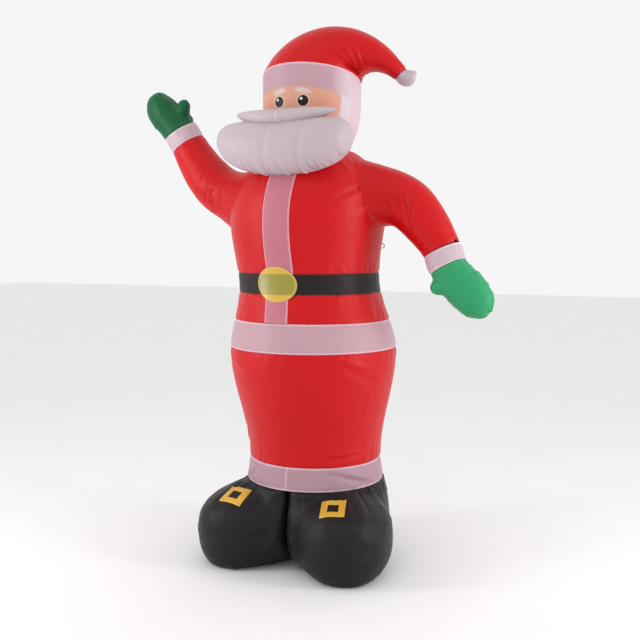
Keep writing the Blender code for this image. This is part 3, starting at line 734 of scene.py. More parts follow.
# %% Hat
HAT_LEAN = math.radians(12)
HAT_TURN = math.radians(134)
HAT_TIP_RADIUS = 0.0147 * HEIGHT
HAT_CREEP = (0.0012 * HEIGHT, 0.0158 * HEIGHT)
HAT_SLIMMING = (1.32, 0.9)
HAT_SECTIONS = 14
HAT_TIP_LENGTH = 0.0274 * HEIGHT
across_hat = np.array([math.cos(HAT_LEAN), math.sin(HAT_LEAN), 0])
aside_hat = np.array([-math.sin(HAT_LEAN), math.cos(HAT_LEAN), 0])
UP = np.array([0.0, 0.0, 1.0])


def between(tables, steps):
    """More sections on a smooth path through the given ones."""
    ends = [tables[0] * 2 - tables[1], *tables, tables[-1] * 2 - tables[-2]]
    found = []
    for p, q, r, s in zip(ends, ends[1:], ends[2:], ends[3:]):
        for t in np.arange(steps) / steps:
            bend = (2 * p - 5 * q + 4 * r - s) * t * t + (3 * q - p - 3 * r + s) * t**3
            found.append((2 * q + (r - p) * t + bend) / 2)
    return np.array([*found, tables[-1]])


def hat():
    finer = 7
    rows, columns = HAT_SECTIONS * finer, 300
    angle_round = np.linspace(0, 2 * math.pi, columns + 1)
    a = angle_round[:-1]
    slope_across = -HAT_SLOPE * across_hat[1]
    slope_aside = -HAT_SLOPE * aside_hat[1]
    inner = AXIS + across_hat * HEAD_RADIUS + UP * (HAT_SEAM + HEAD_RADIUS * slope_across + GAP)
    rings, halves = [], []
    for k in range(HAT_SECTIONS + 1):
        share = k / HAT_SECTIONS
        angle = math.pi + math.atan(slope_across) - HAT_TURN * share
        out = across_hat * math.cos(angle) + UP * math.sin(angle)
        forward = across_hat * math.sin(angle) - UP * math.cos(angle)
        half, breadth = (
            HAT_TIP_RADIUS + (HEAD_RADIUS - HAT_TIP_RADIUS) * (1 - share) ** power
            for power in HAT_SLIMMING
        )
        side = aside_hat + UP * slope_aside * (1 - share) ** 2
        centre = inner + out * half
        ring = centre - out * (half * np.cos(a))[:, None] + side * (breadth * np.sin(a))[:, None]
        rings.append(ring)
        halves.append(half)
        creep = HAT_CREEP[0] + (HAT_CREEP[1] - HAT_CREEP[0]) * share * share
        inner = inner + forward * creep
    rings = between(rings, finer)
    share = np.linspace(0, 1, rows + 1)[:, None]
    half = between(np.array(halves), finer)[:, None]
    run = np.linalg.norm(np.gradient(rings, axis=0), axis=-1).cumsum(axis=0)
    run = run - run[0]
    left = run[-1] - run
    from_fold = half * (1 - np.cos(a))[None, :] + 0.3 * half * abs(np.sin(a))[None, :]
    relief = 0.0
    random = np.random.default_rng(81)
    for place, reach in ((0.13, 0.10), (0.22, 0.17), (0.32, 0.20), (0.43, 0.15), (0.55, 0.09)):
        wide = 0.017 * random.uniform(0.8, 1.2) + 0.05 * from_fold
        turn = random.normal(-0.25, 0.15)
        off = (share - place - turn * from_fold) / wide
        ridge = np.exp(-(off**2)) - 0.8 * np.exp(-((off - 1.6) ** 2) / 1.5)
        fade = np.exp(-((from_fold / reach) ** 2)) * (1 - np.exp(-((from_fold / 0.015) ** 2)))
        relief = relief + 0.0060 * ridge * fade
    girth = 2 * math.pi * HEAD_RADIUS
    x = (a * HEAD_RADIUS)[None, :]
    relief = relief + puckers(x, run, girth, 82, 60, 0.0020, 0.045)
    relief = relief + puckers(x, left, girth, 83, 26, 0.0016, 0.040, 0.030)
    away = np.minimum(run, left)
    relief = relief - seam_dip(away)
    rings = rings + outward(rings) * relief[..., None]
    edge = np.where(run < left, np.clip(run + TURNING, 0, 1), away)
    skin("hat_crown", rings, angle_round * HEAD_RADIUS, run.mean(axis=1), edge, red_satin,
         "red_fabric", "hat_crown")
    return centre, out, forward


hat_end, hat_out, hat_forward = hat()


def hat_tip():
    rows, columns = 44, 72
    share = np.linspace(0, 1, rows + 1)
    a = np.linspace(0, 2 * math.pi, columns + 1)[:-1]
    size = np.interp(share, (0, 0.12, 0.5, 0.85, 0.97, 1), (0.86, 1, 1.08, 1.02, 0.8, 0.40))
    rings = []
    for s, wide in zip(share, size):
        bend = math.radians(30) * s
        along = hat_forward * math.cos(bend) + hat_out * math.sin(bend)
        over = hat_out * math.cos(bend) - hat_forward * math.sin(bend)
        middle = hat_end + along * (GAP + HAT_TIP_LENGTH * s)
        radius = HAT_TIP_RADIUS * wide * (1 + 0.05 * np.cos(4 * a))
        rings.append(middle - over * (radius * np.cos(a))[:, None]
                     + aside_hat * (radius * np.sin(a))[:, None])
    rings = np.array(rings)
    girth = 2 * math.pi * HAT_TIP_RADIUS
    x = (a * HAT_TIP_RADIUS)[None, :]
    y = (share * HAT_TIP_LENGTH)[:, None]
    relief = puckers(x, y, girth, 84, 16, 0.0020, 0.025, 0.005)
    relief = relief + puckers(x, HAT_TIP_LENGTH - y, girth, 85, 18, 0.0022, 0.022, 0.005)
    rings = rings + outward(rings) * relief[..., None]
    across = np.linspace(0, girth, columns + 1)
    edge = np.broadcast_to(y, rings.shape[:2]) + 0.004
    skin("hat_tip", rings, across, y[:, 0], edge, beard_satin, "white_fabric", "hat_tip")


hat_tip()

# %% [markdown]
# ## Air
# The pads and bags are a little looser than the air needs, and their seams hold them in, so
# the cloth between the seams swells and gathers into folds. Blender's cloth does the same:
# the seam points are pinned, the cloth between them is told to grow by a few hundredths,
# pressure pushes it out, and after twenty frames it has folded. How far a point may move is
# capped, so that a piece stays in the space of its solid.


# %% Blowing up a mesh
def positions(mesh):
    place = np.zeros(len(mesh.vertices) * 3, np.float32)
    mesh.vertices.foreach_get("co", place)
    return place.reshape(-1, 3).astype(float)


def normals(mesh):
    place = np.zeros(len(mesh.vertices) * 3, np.float32)
    mesh.vertices.foreach_get("normal", place)
    return place.reshape(-1, 3).astype(float)


def placed(mesh, points):
    mesh.vertices.foreach_set("co", points.astype(np.float32).ravel())
    mesh.update()


def baked(piece):
    """The mesh of a piece with its modifiers worked in. The piece itself goes."""
    bpy.context.view_layer.update()
    graph = bpy.context.evaluated_depsgraph_get()
    mesh = bpy.data.meshes.new_from_object(piece.evaluated_get(graph))
    bpy.data.objects.remove(piece, do_unlink=True)
    return mesh


AIR_PRESSURE = 250.0
AIR_FRAMES = 20


def blown(mesh, held, growth, cap):
    """Fills a mesh with air. held is 1 where the cloth is sewn down and 0 where it is
    free, growth is each point's slack, and cap is about the farthest that a point may
    move. A result that isn't finite is thrown away."""
    facing_out(mesh)
    piece = bpy.data.objects.new(f"{mesh.name}_air", mesh)
    bpy.context.scene.collection.objects.link(piece)
    before = positions(mesh)
    pinned = piece.vertex_groups.new(name="held")
    loose = piece.vertex_groups.new(name="loose")
    for k, (hold, grow) in enumerate(zip(held.tolist(), (growth / growth.max()).tolist())):
        pinned.add([k], hold, "REPLACE")
        loose.add([k], grow, "REPLACE")
    air = piece.modifiers.new("air", "CLOTH")
    cloth = air.settings
    cloth.quality = 4
    cloth.mass = 0.002
    cloth.air_damping = 0
    cloth.tension_stiffness = cloth.compression_stiffness = 12
    cloth.shear_stiffness = 4
    cloth.bending_stiffness = 0.02
    cloth.vertex_group_mass = "held"
    cloth.vertex_group_shrink = "loose"
    cloth.shrink_min = 0.0
    cloth.shrink_max = -float(growth.max())
    cloth.use_pressure = True
    cloth.uniform_pressure_force = AIR_PRESSURE
    cloth.effector_weights.gravity = 0
    air.collision_settings.use_collision = False
    air.point_cache.frame_start, air.point_cache.frame_end = 1, AIR_FRAMES
    for step in range(1, AIR_FRAMES + 1):
        bpy.context.scene.frame_set(step)
    graph = bpy.context.evaluated_depsgraph_get()
    moved = positions(piece.evaluated_get(graph).data) - before
    piece.modifiers.remove(air)
    bpy.context.scene.frame_set(1)
    piece.vertex_groups.clear()
    if not np.isfinite(moved).all():
        moved = np.zeros_like(before)
    far = np.linalg.norm(moved, axis=1, keepdims=True)
    print(f"{mesh.name}: moved {far.mean() * 1000:.1f} mm, most {far.max() * 1000:.1f} mm")
    placed(mesh, before + moved * cap * np.tanh(far / cap) / np.maximum(far, 1e-9))
    finer = piece.modifiers.new("finer", "SUBSURF")
    finer.levels = finer.render_levels = 1
    name = mesh.name
    made = baked(piece)
    made.name = name
    return made


# %% [markdown]
# ## Beard and moustache
# Both are pads of air in front of the tube of the head. The beard is a fat crescent, gathered
# along its lower edge, so deep upright creases rise from there and fade before the top. What
# touches the head or the coat is pressed to it: those points are moved out to its surface.


# %% Beard
def pressed_out(points, radius_at, gap=0.001):
    """Moves points that lie inside an upright tube to its front."""
    local = points - AXIS
    limit = radius_at(local[..., 2]) + gap
    x = local[..., 0] - np.where(local[..., 2] < NECK, sway_at(local[..., 2]), 0)
    inside = (x**2 + local[..., 1] ** 2 < limit**2) & (abs(x) < limit)
    front = -np.sqrt(np.maximum(limit**2 - x**2, 0))
    moved = points.copy()
    moved[..., 1] = np.where(inside, AXIS[1] + front, points[..., 1])
    return moved


def skin_radius_at(level):
    return np.where(level < NECK, girth_at(level) + 0.003, head_radius_at(level))


BEARD = np.array([0.1290, 0.0573, 0.0522]) * HEIGHT
BEARD_CENTRE = np.array([0, -0.1201, 0.7578]) * HEIGHT
BEARD_LIFT = 0.0135 * HEIGHT
BEARD_SLACK = 0.005
LOW_SEAM = math.radians(-78)


def beard():
    rows, columns = 132, 88
    turned = np.radians(np.linspace(-86, 86, rows + 1))
    a = np.linspace(0, 2 * math.pi, columns + 1)[:-1] + math.pi / 2
    full = np.cos(turned)[:, None]
    x = BEARD[0] * np.sin(turned)[:, None]
    rounding = np.where(np.sin(a) > 0, 0.45, 0.62)
    high = BEARD[2] * full**rounding - BEARD_SLACK
    deep = BEARD[1] * full**0.55 - BEARD_SLACK
    lift = BEARD_LIFT * np.sin(turned)[:, None] ** 2
    y = np.maximum(deep, 0.004) * np.cos(a)
    z = np.maximum(high, 0.004) * np.sin(a) + lift
    rings = np.stack([np.broadcast_to(x, y.shape), y, z], axis=-1) + BEARD_CENTRE + AXIS
    from_seam = abs(wrapped(a - LOW_SEAM, 2 * math.pi))[None, :] * BEARD[2]
    length = 2 * BEARD[0]
    relief = puckers(x + BEARD[0], from_seam, length, 92, 16, 0.0040, 0.110, 0.010)
    front = (np.cos(a) < 0.5)[None, :]
    rings = rings + outward(rings) * (relief * full**0.4 * front)[..., None]
    run = np.concatenate([[0], np.linalg.norm(np.diff(rings[:, 0], axis=0), axis=-1).cumsum()])
    around = np.linspace(0, 2 * math.pi * BEARD[2], columns + 1)
    edge = np.broadcast_to(from_seam + TURNING * 0.5, y.shape)
    mesh = ring_mesh("beard", rings, around, run, edge)
    held = np.broadcast_to((from_seam < 0.006) | (np.cos(a) > 0.75)[None, :], y.shape)
    loose = np.broadcast_to(0.10 * np.exp(-((from_seam / 0.09) ** 2)) + 0.02, y.shape)
    ends = np.ones(2)
    mesh = blown(mesh, np.concatenate([held.ravel(), ends]).astype(float),
                 np.concatenate([loose.ravel(), ends * 0.02]), 0.012)
    place, normal = positions(mesh), normals(mesh)
    off = place - BEARD_CENTRE - AXIS
    turned = np.arctan2(off[:, 2] / BEARD[2], off[:, 1] / BEARD[1])
    from_seam = abs(wrapped(turned - LOW_SEAM, 2 * math.pi)) * BEARD[2]
    aside = off[:, 0] + BEARD[0]
    relief = puckers(aside, from_seam, length, 91, 64, 0.0075, 0.10, 0.0042, 0.02)
    relief = relief + puckers(aside, from_seam, length, 93, 34, 0.0080, 0.17, 0.0052, 0.03)
    side = 0.7 + 0.3 * np.clip(off[:, 0] / 0.15, -1, 1)
    front = np.clip((0.02 - off[:, 1]) / 0.03, 0, 1) * np.clip(from_seam / 0.03, 0.25, 1)
    place = place + normal * (relief.clip(-0.010, 0.006) * side * front)[:, None]
    placed(mesh, pressed_out(place, skin_radius_at))
    file_piece("beard", mesh, beard_satin, "white_fabric", "beard")


beard()

# %% Moustache
MOUSTACHE = np.array([0.1014, 0.0213, 0.0149]) * HEIGHT
MOUSTACHE_CENTRE = np.array([0, -0.1394, 0.8105]) * HEIGHT


def moustache():
    rows, columns = 110, 44
    share = np.linspace(-0.992, 0.992, rows + 1)
    a = np.linspace(0, 2 * math.pi, columns + 1)[:-1]
    full = (1 - abs(share) ** 2.4) ** 0.6
    waist = 1 - 0.07 * np.exp(-((share / 0.03) ** 2))
    deep = MOUSTACHE[1] * full * (1 - 0.04 * np.exp(-((share / 0.02) ** 2)))
    high = MOUSTACHE[2] * full * waist
    sweep = share**2 * HEIGHT
    rings = np.stack(
        [
            np.broadcast_to(MOUSTACHE[0] * share[:, None], (rows + 1, columns)),
            0.0274 * sweep[:, None] - deep[:, None] * -np.cos(a),
            0.0122 * sweep[:, None] + high[:, None] * np.sin(a),
        ],
        axis=-1,
    )
    rings = rings + MOUSTACHE_CENTRE + AXIS
    length = 2 * MOUSTACHE[0]
    run = (share + 1) * MOUSTACHE[0]
    from_top = (abs(wrapped(a - math.pi / 2, 2 * math.pi)) * MOUSTACHE[1])[None, :]
    from_low = (abs(wrapped(a + math.pi / 2, 2 * math.pi)) * MOUSTACHE[1])[None, :]
    x = run[:, None]
    relief = puckers(x, from_top, length, 95, 30, 0.0024, 0.030, 0.006) - 0.002
    relief = relief + puckers(x, from_low, length, 96, 34, 0.0034, 0.040, 0.006)
    rings = rings + outward(rings) * (relief * full[:, None] ** 0.5)[..., None]
    around = np.linspace(0, 2 * math.pi * MOUSTACHE[1], columns + 1)
    aside = abs(share * MOUSTACHE[0])[:, None] + TURNING * 0.8
    edge = np.broadcast_to(aside, rings.shape[:2])
    mesh = ring_mesh("moustache", rings, around, run, edge)
    sewn = np.minimum(from_top, from_low) < 0.004
    held = np.broadcast_to(sewn | (np.cos(a) > 0.6)[None, :], rings.shape[:2])
    ends = np.ones(2)
    mesh = blown(mesh, np.concatenate([held.ravel(), ends]).astype(float),
                 np.full(len(mesh.vertices), 0.05), 0.006)
    placed(mesh, pressed_out(positions(mesh), head_radius_at))
    file_piece("moustache", mesh, beard_satin, "white_fabric", "moustache")


moustache()

# %% [markdown]
# ## Arms
# A sleeve is a tube along a smooth curve, sewn into the side of the coat. Each of its
# columns is followed back to where it leaves the coat, so that the first ring lies on the
# coat as a real armhole does, with the puckers of the shoulder seam fanning out from it.

# %% The arms' curves
RAISED_ARM = (
    (-0.0811, 0.0, 0.6569), (-0.1399, 0.0, 0.6700), (-0.1930, 0.0, 0.6915),
    (-0.2300, 0.0, 0.7220), (-0.2574, 0.0, 0.7552), (-0.2797, -0.004, 0.7917),
    (-0.3086, -0.015, 0.8411), (-0.3438, -0.033, 0.8897),
)
LOWERED_ARM = (
    (0.0811, 0.0, 0.6853), (0.1389, 0.0, 0.6800), (0.1960, 0.0, 0.6590),
    (0.2370, 0.0, 0.6195), (0.2660, 0.0, 0.5765), (0.2780, -0.002, 0.5430),
    (0.3050, -0.004, 0.5045), (0.3470, -0.004, 0.4600),
)
SHOULDER_RADIUS = 0.0525 * HEIGHT
WRIST_RADIUS = 0.0360 * HEIGHT
HAND_LENGTH = {"right": 0.0950 * HEIGHT, "left": 0.1095 * HEIGHT}
CUFF_WIDTH = 0.076


def smooth_curve(points, steps=40):
    """Points close together on a smooth curve through the given ones."""
    points = [np.array(point) * HEIGHT for point in points]
    ends = [points[0] * 2 - points[1], *points, points[-1] * 2 - points[-2]]
    curve = []
    for p, q, r, s in zip(ends, ends[1:], ends[2:], ends[3:]):
        for t in np.arange(steps) / steps:
            bend = (2 * p - 5 * q + 4 * r - s) * t * t + (3 * q - p - 3 * r + s) * t**3
            curve.append((2 * q + (r - p) * t + bend) / 2)
    return np.array([*curve, points[-1]])


class Arm:
    """An arm's curve, with the directions across it."""

    def __init__(self, shares):
        self.curve = smooth_curve(shares)
        steps = np.linalg.norm(np.diff(self.curve, axis=0), axis=1)
        self.run = np.concatenate([[0], steps.cumsum()])
        self.length = self.run[-1]
        self.heading = unit(np.gradient(self.curve, axis=0))

    def at(self, distance):
        """Point, heading, width and depth directions at some distances along the arm."""
        point, heading = (
            np.stack([np.interp(distance, self.run, table[:, k]) for k in range(3)], axis=-1)
            for table in (self.curve, self.heading)
        )
        heading = unit(heading)
        depth = unit(np.array([0, 1.0, 0]) - heading * heading[..., 1:2])
        return point, heading, np.cross(depth, heading), depth

    def turned(self, place):
        """How far points stand along the arm, and their angle round it."""
        near = np.argmin(np.linalg.norm(place[:, None] - self.curve[None, ::4], axis=-1), axis=1)
        run = self.run[::4][near]
        heading = self.heading[::4][near]
        run = run + ((place - self.curve[::4][near]) * heading).sum(axis=-1)
        middle, _, width, depth = self.at(run)
        off = place - middle
        return run, np.arctan2((off * depth).sum(axis=-1), (off * width).sum(axis=-1))

    def rings(self, distance, radius, angle, flatness=1.0):
        point, _, width, depth = self.at(distance)
        radius = np.broadcast_to(radius, distance.shape)[..., None]
        local = point + width * radius * np.cos(angle)[..., None]
        local = local + depth * radius * flatness * np.sin(angle)[..., None]
        shifted = local.copy()
        shifted[..., 0] += sway_at(local[..., 2])
        return shifted + AXIS


arms = {"right": Arm(RAISED_ARM), "left": Arm(LOWERED_ARM)}
print({side: round(float(arm.length), 3) for side, arm in arms.items()})


# %% Sleeves and cuffs
SHOULDER_FLARE = 0.030
SHOULDER_REACH = 0.14


def leaves_coat(points):
    local = points - AXIS
    x = local[..., 0] - sway_at(local[..., 2])
    return np.hypot(x, local[..., 1]) - girth_at(np.minimum(local[..., 2], NECK - 1e-4))


def sleeve(side, seed, pulls, folds):
    arm = arms[side]
    columns, rows = 120, 66
    angle = np.linspace(0, 2 * math.pi, columns + 1)
    a = angle[:-1]
    end = arm.length - HAND_LENGTH[side] - CUFF_WIDTH
    taper = lambda s: SHOULDER_RADIUS + (WRIST_RADIUS - SHOULDER_RADIUS) * (s / end) ** 1.8
    tries = np.broadcast_to(np.linspace(0, end * 0.7, 400)[:, None], (400, columns))
    wide = taper(tries) + SHOULDER_FLARE
    outside = leaves_coat(arm.rings(tries, wide, np.broadcast_to(a, tries.shape)))
    inside = outside < -0.001
    last = 399 - np.argmax(inside[::-1], axis=0)
    start = tries[last, np.arange(columns)] + 0.0006
    kernel = np.ones(7) / 7
    start = np.convolve(np.concatenate([start[-3:], start, start[:3]]), kernel, "valid")
    t = np.linspace(0, 1, rows + 1)
    t = np.sort(np.append(t, (0.003, 0.995)))[:, None]
    run = start[None, :] + (end - start[None, :]) * t
    from_coat, from_cuff = run - start[None, :], end - run
    flare = SHOULDER_FLARE * np.clip(1 - from_coat / SHOULDER_REACH, 0, 1) ** 2
    radius = taper(run) + flare - seam_dip(from_cuff)
    rings = arm.rings(run, radius, np.broadcast_to(a, run.shape))
    girth = 2 * math.pi * SHOULDER_RADIUS
    x = (a * SHOULDER_RADIUS)[None, :]
    relief = puckers(x, from_coat, girth, seed, 44, 0.0026, 0.060, 0.008)
    relief = relief + puckers(x, from_cuff, girth, seed + 1, 34, 0.0022, 0.045)
    for place, at, other, to, width, deep in pulls:
        ends = (place * girth, at * end), (other * girth, to * end)
        relief = relief + pull(x, run, girth, *ends, width, deep)
    edge = np.minimum(from_coat, from_cuff)
    rings = rings + outward(rings) * (relief - 0.003 * np.clip(edge / 0.03, 0, 1))[..., None]
    across = np.linspace(0, girth, columns + 1)
    mesh = ring_mesh(f"sleeve_{side}", rings, across, run.mean(axis=1), edge)
    sewn = np.concatenate([np.clip(1.4 - edge / 0.016, 0, 1).ravel(), np.ones(2)])
    inner = np.exp(-((wrapped(x - 0.70 * girth, girth) / 0.09) ** 2))
    loose = 0.03 + 0.06 * inner * np.exp(-from_coat / 0.12)
    mesh = blown(mesh, sewn, np.concatenate([loose.ravel(), np.full(2, 0.03)]), 0.009)
    place, normal = positions(mesh), normals(mesh)
    run, turned = arm.turned(place - AXIS)
    x = turned * SHOULDER_RADIUS
    away = (run - start.mean()).clip(0)
    relief = puckers(x, away, girth, seed + 3, 40, 0.0040, 0.080, 0.0050, 0.05)
    for at, to, where, deep in folds:
        relief = relief + pull(x, run, girth, (where[0] * girth, at * end),
                               (where[1] * girth, to * end), 0.0045, deep)
    relief = relief * np.clip((end - run) / 0.02, 0, 1) * np.clip((run - start.max()) / 0.02, 0, 1)
    placed(mesh, place + normal * relief[:, None])
    file_piece(f"sleeve_{side}", mesh, red_satin, "red_fabric", f"sleeve_{side}")
    SEAMS["red"].append(rings[1] + outward(rings)[1] * 0.0008)


def cuff(side, seed):
    arm = arms[side]
    columns, rows = 150, 22
    angle = np.linspace(0, 2 * math.pi, columns + 1)
    a = angle[:-1]
    high = arm.length - HAND_LENGTH[side] - GAP
    low = high - CUFF_WIDTH + 2 * GAP
    run = np.broadcast_to(np.linspace(low, high, rows + 1)[:, None], (rows + 1, columns))
    near = np.minimum(run - low, high - run)
    rings = arm.rings(run, WRIST_RADIUS - seam_dip(near), np.broadcast_to(a, run.shape))
    girth = 2 * math.pi * WRIST_RADIUS
    x = (a * WRIST_RADIUS)[None, :]
    relief = puckers(x, run - low, girth, seed, 22, 0.0018, 0.030)
    relief = relief + puckers(x, high - run, girth, seed + 1, 22, 0.0022, 0.035)
    rings = rings + outward(rings) * relief[..., None]
    across = np.linspace(0, girth, columns + 1)
    skin(f"cuff_{side}", rings, across, run[:, 0], near, cuff_satin, "white_fabric",
         f"cuff_{side}")
    for at in (low + 0.0045, high - 0.0045):
        SEAMS["white"].append(ring_at(rings, run[:, 0], at))


sleeve("right", 101, [
    (0.58, 0.40, 0.78, 0.50, 0.007, 0.0040), (0.62, 0.46, 0.80, 0.57, 0.007, 0.0035),
    (0.66, 0.34, 0.82, 0.42, 0.008, 0.0040), (0.70, 0.60, 0.86, 0.68, 0.008, 0.0025),
], [
    (0.42, 0.52, (0.72, 0.62), 0.0050), (0.46, 0.58, (0.76, 0.66), 0.0045),
    (0.38, 0.46, (0.66, 0.58), 0.0045), (0.52, 0.62, (0.70, 0.62), 0.0035),
])
sleeve("left", 111, [
    (0.64, 0.44, 0.76, 0.58, 0.007, 0.0045), (0.68, 0.52, 0.80, 0.64, 0.006, 0.0040),
    (0.74, 0.56, 0.86, 0.66, 0.006, 0.0035), (0.62, 0.40, 0.72, 0.50, 0.007, 0.0030),
], [
    (0.42, 0.58, (0.70, 0.80), 0.0060), (0.50, 0.64, (0.68, 0.78), 0.0055),
    (0.58, 0.70, (0.70, 0.82), 0.0050), (0.36, 0.50, (0.74, 0.84), 0.0045),
    (0.62, 0.76, (0.76, 0.86), 0.0035),
])
cuff("right", 121)
cuff("left", 131)

# %% [markdown]
# ## Mittens
# A mitten is two flat shapes sewn together round their outline, then blown up. It has a
# thumb, so it is no simple tube: a hand and a thumb are made as rings, joined by remeshing,
# and smoothed. The seam round the outline then gets its groove and puckers.

# %% Mittens
MITTEN_WIDTH = 0.0440 * HEIGHT
MITTEN_DEPTH = 0.0340 * HEIGHT
THUMB_RADIUS = 0.0167 * HEIGHT
THUMB_LENGTH = {"right": 0.0400 * HEIGHT, "left": 0.0330 * HEIGHT}
THUMB_AIM = {"right": (0.92, 0.40), "left": (0.98, -0.10)}
DRAWN_IN = {"right": 0.36, "left": 0.08}


def tube_mesh(name, rings):
    rows, columns, _ = rings.shape
    bm = bmesh.new()
    loops = [[bm.verts.new(point) for point in ring] for ring in rings.tolist()]
    for lower, upper in zip(loops, loops[1:]):
        for i in range(columns):
            j = (i + 1) % columns
            bm.faces.new((lower[i], lower[j], upper[j], upper[i]))
    bm.faces.new(reversed(loops[0]))
    bm.faces.new(loops[-1])
    bmesh.ops.recalc_face_normals(bm, faces=bm.faces)
    mesh = bpy.data.meshes.new(name)
    bm.to_mesh(mesh)
    bm.free()
    piece = bpy.data.objects.new(name, mesh)
    bpy.context.scene.collection.objects.link(piece)
    return piece


def mitten(side, material, seed):
    arm = arms[side]
    long = HAND_LENGTH[side]
    start = arm.length - long
    share = np.array([0, 0.04, 0.09, 0.17, 0.25, 0.33, 0.42, 0.51, 0.6, 0.68, 0.76, 0.82,
                      0.88, 0.92, 0.95, 0.975, 0.992])
    a = np.linspace(0, 2 * math.pi, 61)[:-1]
    round_end = (1 - share**4.2) ** 0.5
    swell = np.clip(share / 0.5, 0, 1)
    swell = swell * swell * (3 - 2 * swell)
    width = (WRIST_RADIUS + (MITTEN_WIDTH - WRIST_RADIUS) * swell) * round_end
    depth = (WRIST_RADIUS + (MITTEN_DEPTH - WRIST_RADIUS) * swell) * round_end
    point, heading, wide, deep = arm.at(start + long * share)
    drawn_in = DRAWN_IN[side] * np.clip((share - 0.15) / 0.3, 0, 1)[:, None]
    width = width[:, None] * (1 - drawn_in * np.clip(np.cos(a), 0, 1) ** 0.7)
    hand = point[:, None] + wide[:, None] * (width * np.cos(a))[..., None]
    hand = hand + deep[:, None] * depth[:, None, None] * np.sin(a)[None, :, None]
    base, direction, _, _ = arm.at(start + 1.3 * THUMB_RADIUS)
    aside = unit(np.cross([0, 1, 0], direction))
    aside = unit(aside + np.array([0, -0.25, 0]))
    root = base + aside * MITTEN_WIDTH * 0.45
    aim = unit(aside * THUMB_AIM[side][0] + direction * THUMB_AIM[side][1])
    over = unit(np.cross(aim, aside))
    sideways = np.cross(over, aim)
    steps = np.array([0, 0.1, 0.2, 0.32, 0.45, 0.57, 0.68, 0.77, 0.85, 0.91, 0.95, 0.98, 0.995])
    thick = THUMB_RADIUS * (1 - steps**3) ** 0.5 * (1.15 - 0.15 * steps)
    thumb = root + aim * (THUMB_LENGTH[side] * steps)[:, None, None]
    b = a[::2]
    thumb = thumb + sideways * (thick[:, None] * np.cos(b))[..., None]
    thumb = thumb + over * (thick[:, None] * np.sin(b))[..., None]
    parts = [tube_mesh(f"mitten_{side}", hand), tube_mesh("thumb_form", thumb)]
    union = parts[0].modifiers.new("thumb", "BOOLEAN")
    union.operation = "UNION"
    union.object = parts[1]
    whole = bpy.data.objects.new("whole", baked(parts[0]))
    bpy.context.scene.collection.objects.link(whole)
    bpy.data.objects.remove(parts[1], do_unlink=True)
    even = whole.modifiers.new("even", "REMESH")
    even.mode = "VOXEL"
    even.voxel_size = 0.0065
    smooth = whole.modifiers.new("smooth", "SMOOTH")
    smooth.factor = 0.5
    smooth.iterations = 6
    mesh = baked(whole)
    mesh.name = f"mitten_{side}"

    def across_hand(place):
        """How far points stand along the arm, across the hand and off its middle sheet."""
        nearest = np.argmin(
            np.linalg.norm(place[:, None, ::2] - arm.curve[None, -120:, ::2], axis=-1), axis=1
        )
        run = arm.run[nearest + len(arm.curve) - 120]
        middle, _, wide, deep = arm.at(run)
        off = place - middle
        return run, (off * wide).sum(axis=-1), (off * deep).sum(axis=-1)

    place, normal = positions(mesh), normals(mesh)
    run, w, q = across_hand(place)
    grain = np.random.default_rng(seed).normal(0, 0.0006, len(place))
    placed(mesh, place + normal * (grain - 0.003 * (run > start + 0.01))[:, None])
    sewn = (abs(q) < 0.0045) | (run < start + 0.004)
    gathered = np.exp(-((abs(q) / 0.03) ** 2)) * 0.09 + 0.03
    mesh = blown(mesh, sewn.astype(float), gathered, 0.007)
    place, normal = positions(mesh), normals(mesh)
    run, w, q = across_hand(place)
    tip = arm.curve[-1]
    seam_run = np.arctan2(w, (place - arm.at(np.array(start + 0.10))[0]) @ heading[6]) * 0.10
    girth = 2 * math.pi * 0.10
    away = abs(q)
    relief = -0.0022 * np.exp(-((q / 0.006) ** 2))
    relief = relief + puckers(seam_run, away, girth, seed, 46, 0.0045, 0.040, 0.0045)
    from_cuff = np.clip(run - start, 0, None)
    turn = np.arctan2(q, w) * WRIST_RADIUS
    relief = relief + puckers(turn, from_cuff, 2 * math.pi * WRIST_RADIUS, seed + 1, 24, 0.0028,
                              0.035, 0.006)
    from_tip = np.linalg.norm(place - tip, axis=1)
    gather = np.cos(np.arctan2(q, w) * 9 + 3 * np.sin(2 * np.arctan2(q, w)))
    relief = relief + 0.0022 * gather * np.exp(-((from_tip - 0.03) / 0.035) ** 2)
    place = place + normal * (relief * np.clip(from_cuff / 0.004, 0, 1))[:, None]
    place[:, 0] += sway_at(place[:, 2])
    mesh.vertices.foreach_set("co", (place + AXIS).astype(np.float32).ravel())
    edge = np.minimum(from_cuff, away + TURNING * 0.8)
    mesh.attributes.new("edge", "FLOAT", "POINT").data.foreach_set("value", edge.astype(np.float32))
    mesh.uv_layers.new(name="cloth")
    file_piece(f"mitten_{side}", mesh, material, "green_fabric", f"mitten_{side}")


# The raised mitten takes the green with painted shade, the lowered one the green that is painted
# lit.
mitten("right", green_painted_shade, 141)
mitten("left", green_painted_lit, 151)

# %% [markdown]
# ## Boots
# A boot carries the round of the hem down to the ground and swells forward into a toe. Seen
# from above, its outline at each level is the larger of an ankle's circle and a toe's oval,
# blended so that no corner shows between them, and cut off at the middle by its twin.

# %% Boots
BOOT_TOP = HEM_LOW - GAP
BOOT_MIDDLE = np.array([0.42 * (HEM[1] + HEM_FLARE), 0.0])
TOE_SPLAY = math.radians(27)
TOE_CENTRE = np.array([0.0830, -0.0640]) * HEIGHT
TOE_HALF = np.array([0.1285, 0.0880]) * HEIGHT
TOE_FULL = 0.052 * HEIGHT
TOE_TOP = 0.150 * HEIGHT
SOLE_INSET = 0.033 * HEIGHT
toe_forward = np.array([math.sin(TOE_SPLAY), -math.cos(TOE_SPLAY)])
toe_aside = np.array([math.cos(TOE_SPLAY), math.sin(TOE_SPLAY)])


